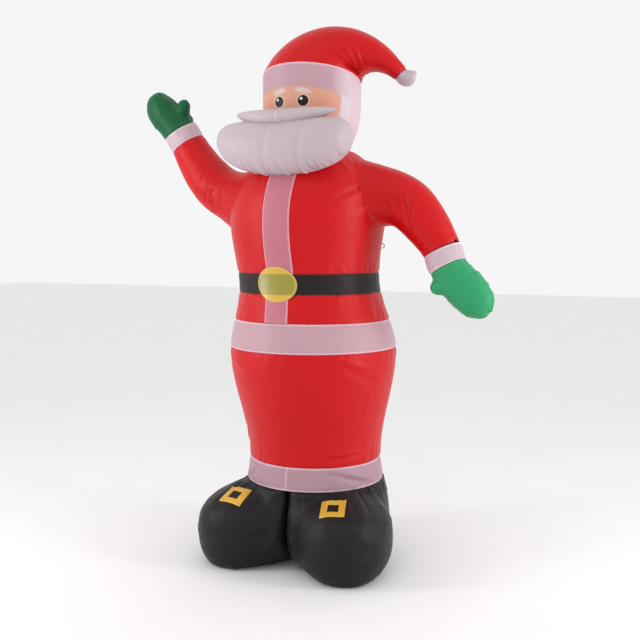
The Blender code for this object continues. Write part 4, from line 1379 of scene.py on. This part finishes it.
def boot_reach(level, ray):
    """Distance from the boot's middle to its skin, for levels down and rays across."""
    drop = np.clip(1 - level / TOE_FULL, 0, None)
    inset = SOLE_INSET * (1 - np.sqrt(1 - drop * drop))
    bulge = 1 + 0.085 * np.sin(math.pi * level / BOOT_TOP)
    round_ankle = (HEM[1] + HEM_FLARE - SEAM_DIP) * bulge - 1.5 * inset
    dot = ray @ BOOT_MIDDLE
    ankle = -dot + np.sqrt(dot * dot + round_ankle**2 - BOOT_MIDDLE @ BOOT_MIDDLE)
    rise = np.clip(level - TOE_FULL, 0, None) / (TOE_TOP - TOE_FULL)
    size = (1 - rise**4) ** 1.35
    length, wide = (half * size - inset for half in TOE_HALF)
    gone = BOOT_MIDDLE - TOE_CENTRE
    s = np.stack([gone @ toe_forward / length, gone @ toe_aside / wide], axis=-1)
    d = np.stack([ray @ toe_forward / length, ray @ toe_aside / wide], axis=-1)
    dot, dd, ss = (s * d).sum(axis=-1), (d * d).sum(axis=-1), (s * s).sum(axis=-1)
    inside = dot * dot - dd * (ss - 1)
    toe = np.where(inside > 0, (-dot + np.sqrt(np.maximum(inside, 0))) / dd, 0).clip(0)
    outer = (ankle**12 + toe**12) ** (1 / 12)
    middle = (BOOT_MIDDLE[0] - 0.002 - inset) / np.maximum(-ray[..., 0], 1e-6)
    return (outer**-12 + middle**-12) ** (-1 / 12)


def boot(side, mirror, seed, pulls):
    columns, rows = 160, 54
    angle = np.linspace(0, 2 * math.pi, columns + 1)
    a = angle[:-1]
    share = np.linspace(0, 1, rows + 1)
    level = BOOT_TOP * (share - 0.12 * np.sin(2 * math.pi * share) / (2 * math.pi))
    ray = np.broadcast_to(np.stack([np.cos(a), np.sin(a)], axis=-1), (rows + 1, columns, 2))
    reach = boot_reach(np.broadcast_to(level[:, None], (rows + 1, columns)), ray)
    flat = BOOT_MIDDLE + ray * reach[..., None]
    rings = np.concatenate(
        [flat, np.broadcast_to(level[:, None, None], (rows + 1, columns, 1))], axis=-1
    )
    run = np.linalg.norm(np.gradient(rings, axis=0), axis=-1).cumsum(axis=0)
    down = run[-1] - run
    girth = 1.30
    x = a[None, :] * girth / (2 * math.pi)
    high_edge = (BOOT_TOP - level)[:, None]
    relief = puckers(x, down, girth, seed, 46, 0.0034, 0.060)
    relief = relief + puckers(x, run, girth, seed + 1, 60, 0.0030, 0.060)
    for start, end, width, deep in pulls:
        start, end = ((p[0] * girth, p[1] * BOOT_TOP) for p in (start, end))
        relief = relief + pull(x, level[:, None], girth, start, end, width, deep)
    relief = relief + random_pulls(x, level[:, None], girth, BOOT_TOP, seed + 2, 16, 0.0030)
    fade = np.clip(level / 0.02, 0, 1)[:, None] * np.clip(high_edge / 0.004, 0, 1)
    beside_twin = np.clip((flat[..., 0] - 0.002) / 0.04, 0, 1)
    slack = 0.004 * fade * beside_twin
    rings = rings + outward(rings) * (relief * fade * beside_twin - slack)[..., None]
    rings[..., 2] = np.maximum(rings[..., 2], 0)
    rings[..., 0] *= mirror
    rings[..., 0] += sway_at(rings[..., 2])
    rings = rings + AXIS
    across = np.linspace(0, girth, columns + 1)
    mesh = ring_mesh(f"boot_{side}", rings, across, run.mean(axis=1),
                     np.minimum(down, run + 0.01))
    level = np.broadcast_to(level[:, None], run.shape)
    held = (level < 0.002) | (high_edge < 0.004) | (beside_twin < 0.3)
    loose = 0.05 * np.exp(-down / 0.10) + 0.03 + 0.04 * np.exp(-level / 0.06)
    ends = np.ones(2)
    mesh = blown(mesh, np.concatenate([held.ravel(), ends]).astype(float),
                 np.concatenate([loose.ravel(), ends * 0.03]), 0.012)
    points, normal = positions(mesh), normals(mesh)
    spot = points - AXIS
    spot[:, 0] = (spot[:, 0] - sway_at(spot[:, 2])) * mirror
    ahead = np.arctan2(spot[:, 1], spot[:, 0] - BOOT_MIDDLE[0]) % (2 * math.pi)
    ahead = ahead * girth / (2 * math.pi)
    up = spot[:, 2]
    fine = puckers(ahead, BOOT_TOP - up, girth, seed + 3, 64, 0.0060, 0.080, 0.006, 0.09)
    fine = fine + puckers(ahead, up, girth, seed + 4, 80, 0.0055, 0.055, 0.006, 0.09)
    fine = fine + random_pulls(ahead, up, girth, BOOT_TOP, seed + 5, 16, 0.0040, 1.4)
    free = np.clip(up / 0.02, 0, 1) * np.clip((BOOT_TOP - up) / 0.006, 0, 1)
    free = free * np.clip((spot[:, 0] - 0.004) / 0.04, 0, 1)
    points = points + normal * (fine * free)[:, None]
    points[:, 2] = points[:, 2].clip(0, BOOT_TOP)
    placed(mesh, points)
    file_piece(f"boot_{side}", mesh, black_satin, "black_fabric", f"boot_{side}")


boot("right", -1, 161, [
    ((0.70, 0.62), (0.78, 0.42), 0.012, 0.0055), ((0.62, 0.80), (0.68, 0.55), 0.012, 0.0050),
    ((0.80, 0.55), (0.86, 0.36), 0.012, 0.0045),
])
boot("left", 1, 171, [
    ((0.66, 0.60), (0.72, 0.40), 0.012, 0.0055), ((0.84, 0.78), (0.93, 0.62), 0.012, 0.0055),
    ((0.86, 0.64), (0.94, 0.50), 0.012, 0.0045),
])

# %% [markdown]
# ## Flat trims
# The white strip, the oval buckle and the gold squares are flat pieces sewn or glued on top.
# Each is a thin sheet that follows what lies under it. Rays sent in from outside find the
# dressed cloth below every point of the sheet, and the sheet is laid that far out.


# %% Laying sheets on cloth
def tree_of(*names):
    points, faces = [], []
    for name in names:
        mesh = pieces[name].data
        start = len(points)
        points += [tuple(vert.co) for vert in mesh.vertices]
        faces += [tuple(start + k for k in face.vertices) for face in mesh.polygons]
    return BVHTree.FromPolygons(points, faces)


def laid(tree, starts, directions):
    """Where rays from starts meet the cloth."""
    found = []
    for start, direction in zip(starts.reshape(-1, 3), directions.reshape(-1, 3)):
        hit = tree.ray_cast(start.tolist(), direction.tolist())
        found.append(hit[0] if hit[0] is not None else start)
    return np.array(found, float).reshape(starts.shape)


def sheet_piece(name, under, facing, thickness, keep):
    """A thin closed sheet: the top lies off the cloth and rolls down to it at the rim.
    keep is 1 in the middle of the sheet and falls to 0 at its rim."""
    rows, columns, _ = under.shape
    top = under + facing * (0.0006 + thickness * np.clip(keep, 0, 1) ** 0.5)[..., None]
    base = under + facing * 0.0003
    points = np.concatenate([top.reshape(-1, 3), base.reshape(-1, 3)])
    r, c = np.meshgrid(np.arange(rows - 1), np.arange(columns - 1), indexing="ij")
    near, far = r * columns + c, (r + 1) * columns + c
    corners = [near, near + 1, far + 1, far]
    quads = np.stack(corners, axis=-1).reshape(-1, 4)
    rim = np.concatenate(
        [
            np.arange(columns - 1),
            np.arange(rows - 1) * columns + columns - 1,
            (rows * columns - 1) - np.arange(columns - 1),
            (rows - 1 - np.arange(rows - 1)) * columns,
        ]
    )
    following = np.roll(rim, -1)
    total = rows * columns
    walls = np.stack([rim, rim + total, following + total, following], axis=-1)
    faces = quads.tolist() + (quads[:, ::-1] + total).tolist() + walls.tolist()
    mesh = bpy.data.meshes.new(name)
    mesh.from_pydata(points.tolist(), [], faces)
    flat = np.stack(
        [np.tile(np.arange(columns) * 0.004, rows), np.repeat(np.arange(rows) * 0.004, columns)],
        axis=-1,
    )
    corner = np.zeros(len(mesh.loops), np.int32)
    mesh.loops.foreach_get("vertex_index", corner)
    mesh.uv_layers.new(name="cloth").data.foreach_set(
        "uv", flat[corner % total].astype(np.float32).ravel()
    )
    return mesh


def trunk_patch(aside, width, low, high, columns=40, pitch=0.006):
    """Rays that come in towards the trunk's line over a strip of its front."""
    rows = max(10, round((high - low) / pitch))
    level = np.linspace(low, high, rows + 1)
    radius = girth_at(level)
    x = aside + np.linspace(-0.5, 0.5, columns + 1)[None, :] * width
    angle = x / radius[:, None] - math.pi / 2
    out = np.stack([np.cos(angle), np.sin(angle), np.zeros_like(angle)], axis=-1)
    middle = np.stack([AXIS[0] + sway_at(level), np.full_like(level, AXIS[1]), level], axis=-1)
    return middle[:, None] + out * 0.6, out


# %% [markdown]
# The strip is cut off under the beard and at the belt, and again at the belt and the hip
# band. Its long sides are turned under, which shows as a lighter line, partly a painted
# highlight.

# %% Front strip
UPPER_STRIP = (0.012, 0.126)
LOWER_STRIP = (-0.010, 0.110)


def front_strip(name, aside, width, low, high, base):
    start, out = trunk_patch(aside, width, low, high)
    under = laid(tree_of(base), start, -out)
    rows, columns = under.shape[:2]
    side = (0.5 - abs(np.linspace(-0.5, 0.5, columns))) * width
    end = np.minimum(np.linspace(0, high - low, rows), np.linspace(high - low, 0, rows))
    distance = np.minimum(side[None, :], end[:, None] + 0.004)
    mesh = sheet_piece(name, under, out, 0.0022, np.clip(distance / 0.004, 0, 1))
    edge = np.tile(np.broadcast_to(side[None, :], (rows, columns)).ravel(), 2)
    mesh.attributes.new("edge", "FLOAT", "POINT").data.foreach_set("value", edge.astype(np.float32))
    strip = file_piece(name, mesh, strip_satin, "white_fabric", name)


beard_low = BEARD_CENTRE[2] - BEARD[2] / 2
front_strip("front_strip_upper", *UPPER_STRIP, BELT_HIGH + GAP, beard_low, "coat_upper")
front_strip("front_strip_lower", *LOWER_STRIP, HIP_HIGH + GAP, BELT_LOW - GAP, "coat_skirt")

# %% [markdown]
# The buckle is a stiff see-through film in mustard yellow. Over the black belt it looks
# olive, over the strip it looks gold, and its rim is turned and paler. What is painted is
# what shows through: the film's colour changes with the level of the cloth behind it.


# %% Belt buckle
def film():
    sheet = Sheet("buckle_film")
    place = sheet.node("TexCoord", out=3)
    split = sheet.node("SeparateXYZ", {}, {"Vector": place})
    up = Wire(sheet, split.socket.node.outputs[2])
    middle = (BELT_LOW + BELT_HIGH) / 2
    over_belt = abs(up - middle).below((BELT_HIGH - BELT_LOW) / 2, 0.003)
    rim = edge_distance(sheet).below(0.008, 0.002)
    colour = sheet.tint(over_belt, srgb(206, 164, 46), srgb(146, 136, 42))
    colour = sheet.tint(rim * 0.6, colour, srgb(205, 178, 84))
    ripple = sheet.noise(30, detail=2, warp=0.5)
    bump = sheet.node("Bump", {}, {"Height": ripple * 0.002 + rim * 0.0006, "Distance": 1.0})
    sheet.shade(Base_Color=colour, Roughness=ripple * 0.12 + 0.28, Normal=bump)
    sheet.shade(Coat_Weight=0.25, Coat_Roughness=0.2)
    return sheet.material


BUCKLE = (0.190, 0.154)
BUCKLE_ASIDE = -0.006
buckle_film = film()


def belt_buckle():
    middle = (BELT_LOW + BELT_HIGH) / 2
    turns, rings_count = 120, 16
    angle = np.linspace(0, 2 * math.pi, turns + 1)[:-1]
    share = np.concatenate([np.linspace(0.04, 0.9, rings_count), [0.93, 0.96, 0.985, 1.0]])
    x = BUCKLE_ASIDE + share[:, None] * BUCKLE[0] / 2 * np.cos(angle)
    z = middle + share[:, None] * BUCKLE[1] / 2 * np.sin(angle)
    radius = girth_at(z)
    turn = -math.pi / 2 + x / radius
    out = np.stack([np.cos(turn), np.sin(turn), np.zeros_like(turn)], axis=-1)
    lift = 0.0035 + 0.0035 * np.clip((1 - share) / 0.06, 0, 1)[:, None] ** 0.5
    centre = np.stack([AXIS[0] + sway_at(z), np.full_like(z, AXIS[1]), z], axis=-1)
    top = centre + out * (radius + lift)[..., None]
    base = centre + out * (radius + 0.0031)[..., None]
    rings = np.concatenate([top, base[::-1]])
    across = np.linspace(0, 0.5, turns + 1)
    edge = np.concatenate([1 - share, (1 - share)[::-1]])[:, None] * 0.08
    skin("belt_buckle", rings, across, np.linspace(0, 0.2, len(rings)), edge, buckle_film,
         "buckle_film", "belt_buckle")


belt_buckle()

# %% [markdown]
# The gold squares on the insteps are laid on the boots in the same way. A square frame is a
# ring with four corners, so its points run round a square and step in from its outer edge
# to its hole, and the rays fall at right angles to the slanting instep.


# %% Boot buckles
def gold_cloth():
    sheet = Sheet("boot_gold")
    grain = sheet.noise(140, detail=2)
    slow = sheet.noise(14, detail=2)
    colour = sheet.tint(slow, srgb(196, 150, 44), srgb(222, 178, 66))
    bump = sheet.node("Bump", {}, {"Height": grain * 0.0004 + slow * 0.001, "Distance": 1.0})
    sheet.shade(Base_Color=colour, Roughness=grain * 0.1 + 0.36, Normal=bump, Metallic=0.1)
    return sheet.material


BOOT_BUCKLE = 0.104
BORDER = 0.029
boot_gold = gold_cloth()


def square_ring(half, count):
    """Points evenly round a square."""
    side = np.linspace(-half, half, count + 1)[:-1]
    low, high = np.full(count, -half), np.full(count, half)
    x = np.concatenate([side, high, -side, low])
    y = np.concatenate([low, side, high, -side])
    return np.stack([x, y], axis=-1)


def boot_buckle(side, mirror, twist):
    slant = math.radians(28)
    spot = TOE_CENTRE + toe_forward * 0.0667 * HEIGHT - toe_aside * 0.0208 * HEIGHT
    level = 0.118 * HEIGHT
    centre = np.array([mirror * spot[0] + float(sway_at(level)), spot[1], level]) + AXIS
    right = np.array([math.cos(mirror * TOE_SPLAY), math.sin(mirror * TOE_SPLAY), 0])
    back = np.array([-right[1], right[0], 0])
    upward = back * math.cos(slant) + UP * math.sin(slant)
    face = np.cross(right, upward)
    twist = math.radians(twist)
    right = right * math.cos(twist) + upward * math.sin(twist)
    upward = np.cross(face, right)
    inner, outer = BOOT_BUCKLE / 2 - BORDER, BOOT_BUCKLE / 2
    steps = np.array([0, 0.06, 0.25, 0.5, 0.75, 0.94, 1.0])
    rows = [square_ring(inner + (outer - inner) * s, 14) for s in steps]
    flat = np.array(rows)
    start = centre + right * flat[..., :1] + upward * flat[..., 1:] + face * 0.2
    under = laid(tree_of(f"boot_{side}"), start, np.broadcast_to(-face, start.shape))
    height = 0.0006 + 0.0024 * np.clip(np.minimum(steps, 1 - steps) / 0.06, 0, 1)
    top = under + face * height[:, None, None]
    base = under + face * 0.0003
    ring = np.concatenate([top, base[::-1]])
    rows, columns, _ = ring.shape
    r, c = np.meshgrid(np.arange(rows), np.arange(columns), indexing="ij")
    after_r, after_c = (r + 1) % rows, (c + 1) % columns
    corners = [r * columns + c, r * columns + after_c, after_r * columns + after_c,
               after_r * columns + c]
    quads = np.stack(corners, axis=-1).reshape(-1, 4)
    mesh = bpy.data.meshes.new(f"boot_buckle_{side}")
    mesh.from_pydata(ring.reshape(-1, 3).tolist(), [], quads.tolist())
    name = f"boot_buckle_{side}"
    square = file_piece(name, mesh, boot_gold, "boot_buckle_film", name)


boot_buckle("right", -1, 17)
boot_buckle("left", 1, -9)


# %% [markdown]
# ## Stitches
# Thread shows as a row of short dashes beside each seam. A row follows a path and repeats,
# so Geometry Nodes make it: the loop of points is resampled at the stitch length, a slim
# capsule is set at each point along the path, and the result is turned into a plain mesh.


# %% Stitch rows
def stitch_tree():
    tree = bpy.data.node_groups.new("stitch_row", "GeometryNodeTree")
    face = tree.interface
    face.new_socket("Geometry", in_out="INPUT", socket_type="NodeSocketGeometry")
    for name in ("Pitch", "Stitch Length", "Thread Radius"):
        face.new_socket(name, in_out="INPUT", socket_type="NodeSocketFloat")
    face.new_socket("Thread", in_out="INPUT", socket_type="NodeSocketMaterial")
    face.new_socket("Geometry", in_out="OUTPUT", socket_type="NodeSocketGeometry")

    def add(kind, settings=None, **sockets):
        node = tree.nodes.new(kind)
        for key, value in (settings or {}).items():
            setattr(node, key, value)
        for key, value in sockets.items():
            socket = node.inputs[key.replace("_", " ")]
            if isinstance(value, bpy.types.NodeSocket):
                tree.links.new(value, socket)
            else:
                socket.default_value = value
        return node

    given = add("NodeGroupInput").outputs
    curve = add("GeometryNodeMeshToCurve", Mesh=given["Geometry"])
    dots = add("GeometryNodeResampleCurve", {"mode": "LENGTH"}, Curve=curve.outputs[0],
               Length=given["Pitch"])
    ball = add("GeometryNodeMeshUVSphere", Segments=6, Rings=4, Radius=1.0)
    half = add("ShaderNodeMath", {"operation": "MULTIPLY"})
    tree.links.new(given["Stitch Length"], half.inputs[0])
    half.inputs[1].default_value = 0.5
    size = add("ShaderNodeCombineXYZ", X=given["Thread Radius"], Y=given["Thread Radius"],
               Z=half.outputs[0])
    way = add("GeometryNodeInputTangent")
    turn = add("FunctionNodeAlignRotationToVector", {"axis": "Z"}, Vector=way.outputs[0])
    rows = add("GeometryNodeInstanceOnPoints", Points=dots.outputs[0], Instance=ball.outputs[0],
               Rotation=turn.outputs[0], Scale=size.outputs[0])
    real = add("GeometryNodeRealizeInstances", Geometry=rows.outputs[0])
    threaded = add("GeometryNodeSetMaterial", Geometry=real.outputs[0], Material=given["Thread"])
    tree.links.new(threaded.outputs[0], add("NodeGroupOutput").inputs[0])
    return tree


def thread(name, colour):
    sheet = Sheet(name)
    twist = sheet.noise(900, detail=1)
    pale = tuple(min(1, c * 1.2) for c in colour)
    sheet.shade(Base_Color=sheet.tint(twist, colour, pale), Roughness=twist * 0.1 + 0.45)
    return sheet.material


def stitch_rows(name, loops, material, slot):
    points = np.concatenate(loops)
    edges, start = [], 0
    for loop in loops:
        count = len(loop)
        edges += [(start + k, start + (k + 1) % count) for k in range(count)]
        start += count
    path = bpy.data.meshes.new(name)
    path.from_pydata(points.tolist(), edges, [])
    row = bpy.data.objects.new(name, path)
    bpy.context.scene.collection.objects.link(row)
    nodes = row.modifiers.new("stitches", "NODES")
    nodes.node_group = stitches
    values = {"Pitch": 0.012, "Stitch Length": 0.0085, "Thread Radius": 0.0007,
              "Thread": material}
    for item in stitches.interface.items_tree:
        if item.item_type == "SOCKET" and item.name in values:
            nodes[item.identifier] = values[item.name]
    mesh = baked(row)
    mesh.name = name
    return file_piece(name, mesh, material, slot)


stitches = stitch_tree()
stitch_rows("white_stitching", SEAMS["white"], thread("white_thread", srgb(236, 226, 230)),
            "white_fabric")
stitch_rows("red_stitching", SEAMS["red"], thread("red_thread", srgb(150, 12, 20)), "red_fabric")
stitch_rows("black_stitching", SEAMS["black"], thread("black_thread", srgb(30, 26, 26)),
            "belt_fabric")

# %% [markdown]
# ## Loops for the guy lines
# Two small loops of red cord at the sides of the coat keep the shape of their solids. The
# cord gets a material with a fine twist.


# %% Tether loops
def cord():
    sheet = Sheet("red_cord")
    twist = sheet.noise(700, detail=1)
    bump = sheet.node("Bump", {}, {"Height": twist * 0.0006, "Distance": 1.0})
    sheet.shade(Base_Color=sheet.tint(twist, srgb(120, 10, 16), srgb(170, 20, 28)))
    sheet.shade(Roughness=twist * 0.1 + 0.6, Normal=bump)
    return sheet.material


loop_cord = cord()
for side in ("left", "right"):
    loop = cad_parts[f"tether_loop_{side}"]
    loop.data.materials.clear()
    loop.data.materials.append(loop_cord)

# %% [markdown]
# ## Floor and light
# The figure stands on a plain pale floor in an even white room. Two tall soft boxes, one at
# each side and a little behind the camera, give satin its long highlights, and a weak
# overhead light fills the tops.


# %% Floor, room and lights
def studio():
    bpy.ops.mesh.primitive_plane_add(size=40)
    floor = bpy.context.object
    floor.name = "studio_floor"
    sheet = Sheet("floor_paper")
    speck = sheet.noise(3, detail=2)
    sheet.shade(Base_Color=sheet.tint(speck, (0.84, 0.84, 0.84), (0.88, 0.88, 0.88)))
    sheet.shade(Roughness=speck * 0.1 + 0.8)
    floor.data.materials.append(sheet.material)
    world = bpy.data.worlds.new("room")
    world.use_nodes = True
    world.node_tree.nodes["Background"].inputs[0].default_value = (1, 1, 1, 1)
    world.node_tree.nodes["Background"].inputs[1].default_value = 0.92
    bpy.context.scene.world = world


def soft_box(name, turned, distance, height, size, power, aim=1.2):
    """An area light round the figure, turned from the camera's direction in degrees."""
    light = bpy.data.lights.new(name, "AREA")
    light.shape = "RECTANGLE"
    light.size, light.size_y = size
    light.energy = power
    lamp = bpy.data.objects.new(name, light)
    bpy.context.scene.collection.objects.link(lamp)
    angle = AZIMUTH + math.radians(turned)
    place = AXIS + np.array([math.sin(angle) * distance, -math.cos(angle) * distance, height])
    lamp.location = place
    level = math.atan2(aim - height, distance)
    lamp.rotation_euler = (math.pi / 2 + level, 0, angle)


studio()
soft_box("left_box", -74, 3.2, 1.7, (0.7, 2.4), 36)
soft_box("right_box", 66, 3.4, 1.6, (0.7, 2.4), 42)
soft_box("top_box", -10, 2.2, 4.2, (2.4, 2.0), 6)
bpy.context.scene.view_settings.view_transform = "Standard"

# %% [markdown]
# ## Sizes and the last line
# The dressed figure has to stay in the solids' box but for the little that cloth stands proud,
# so each piece printed how far its box stands outside its solid's as it was filed.

# %% Finish
bpy.context.view_layer.update()
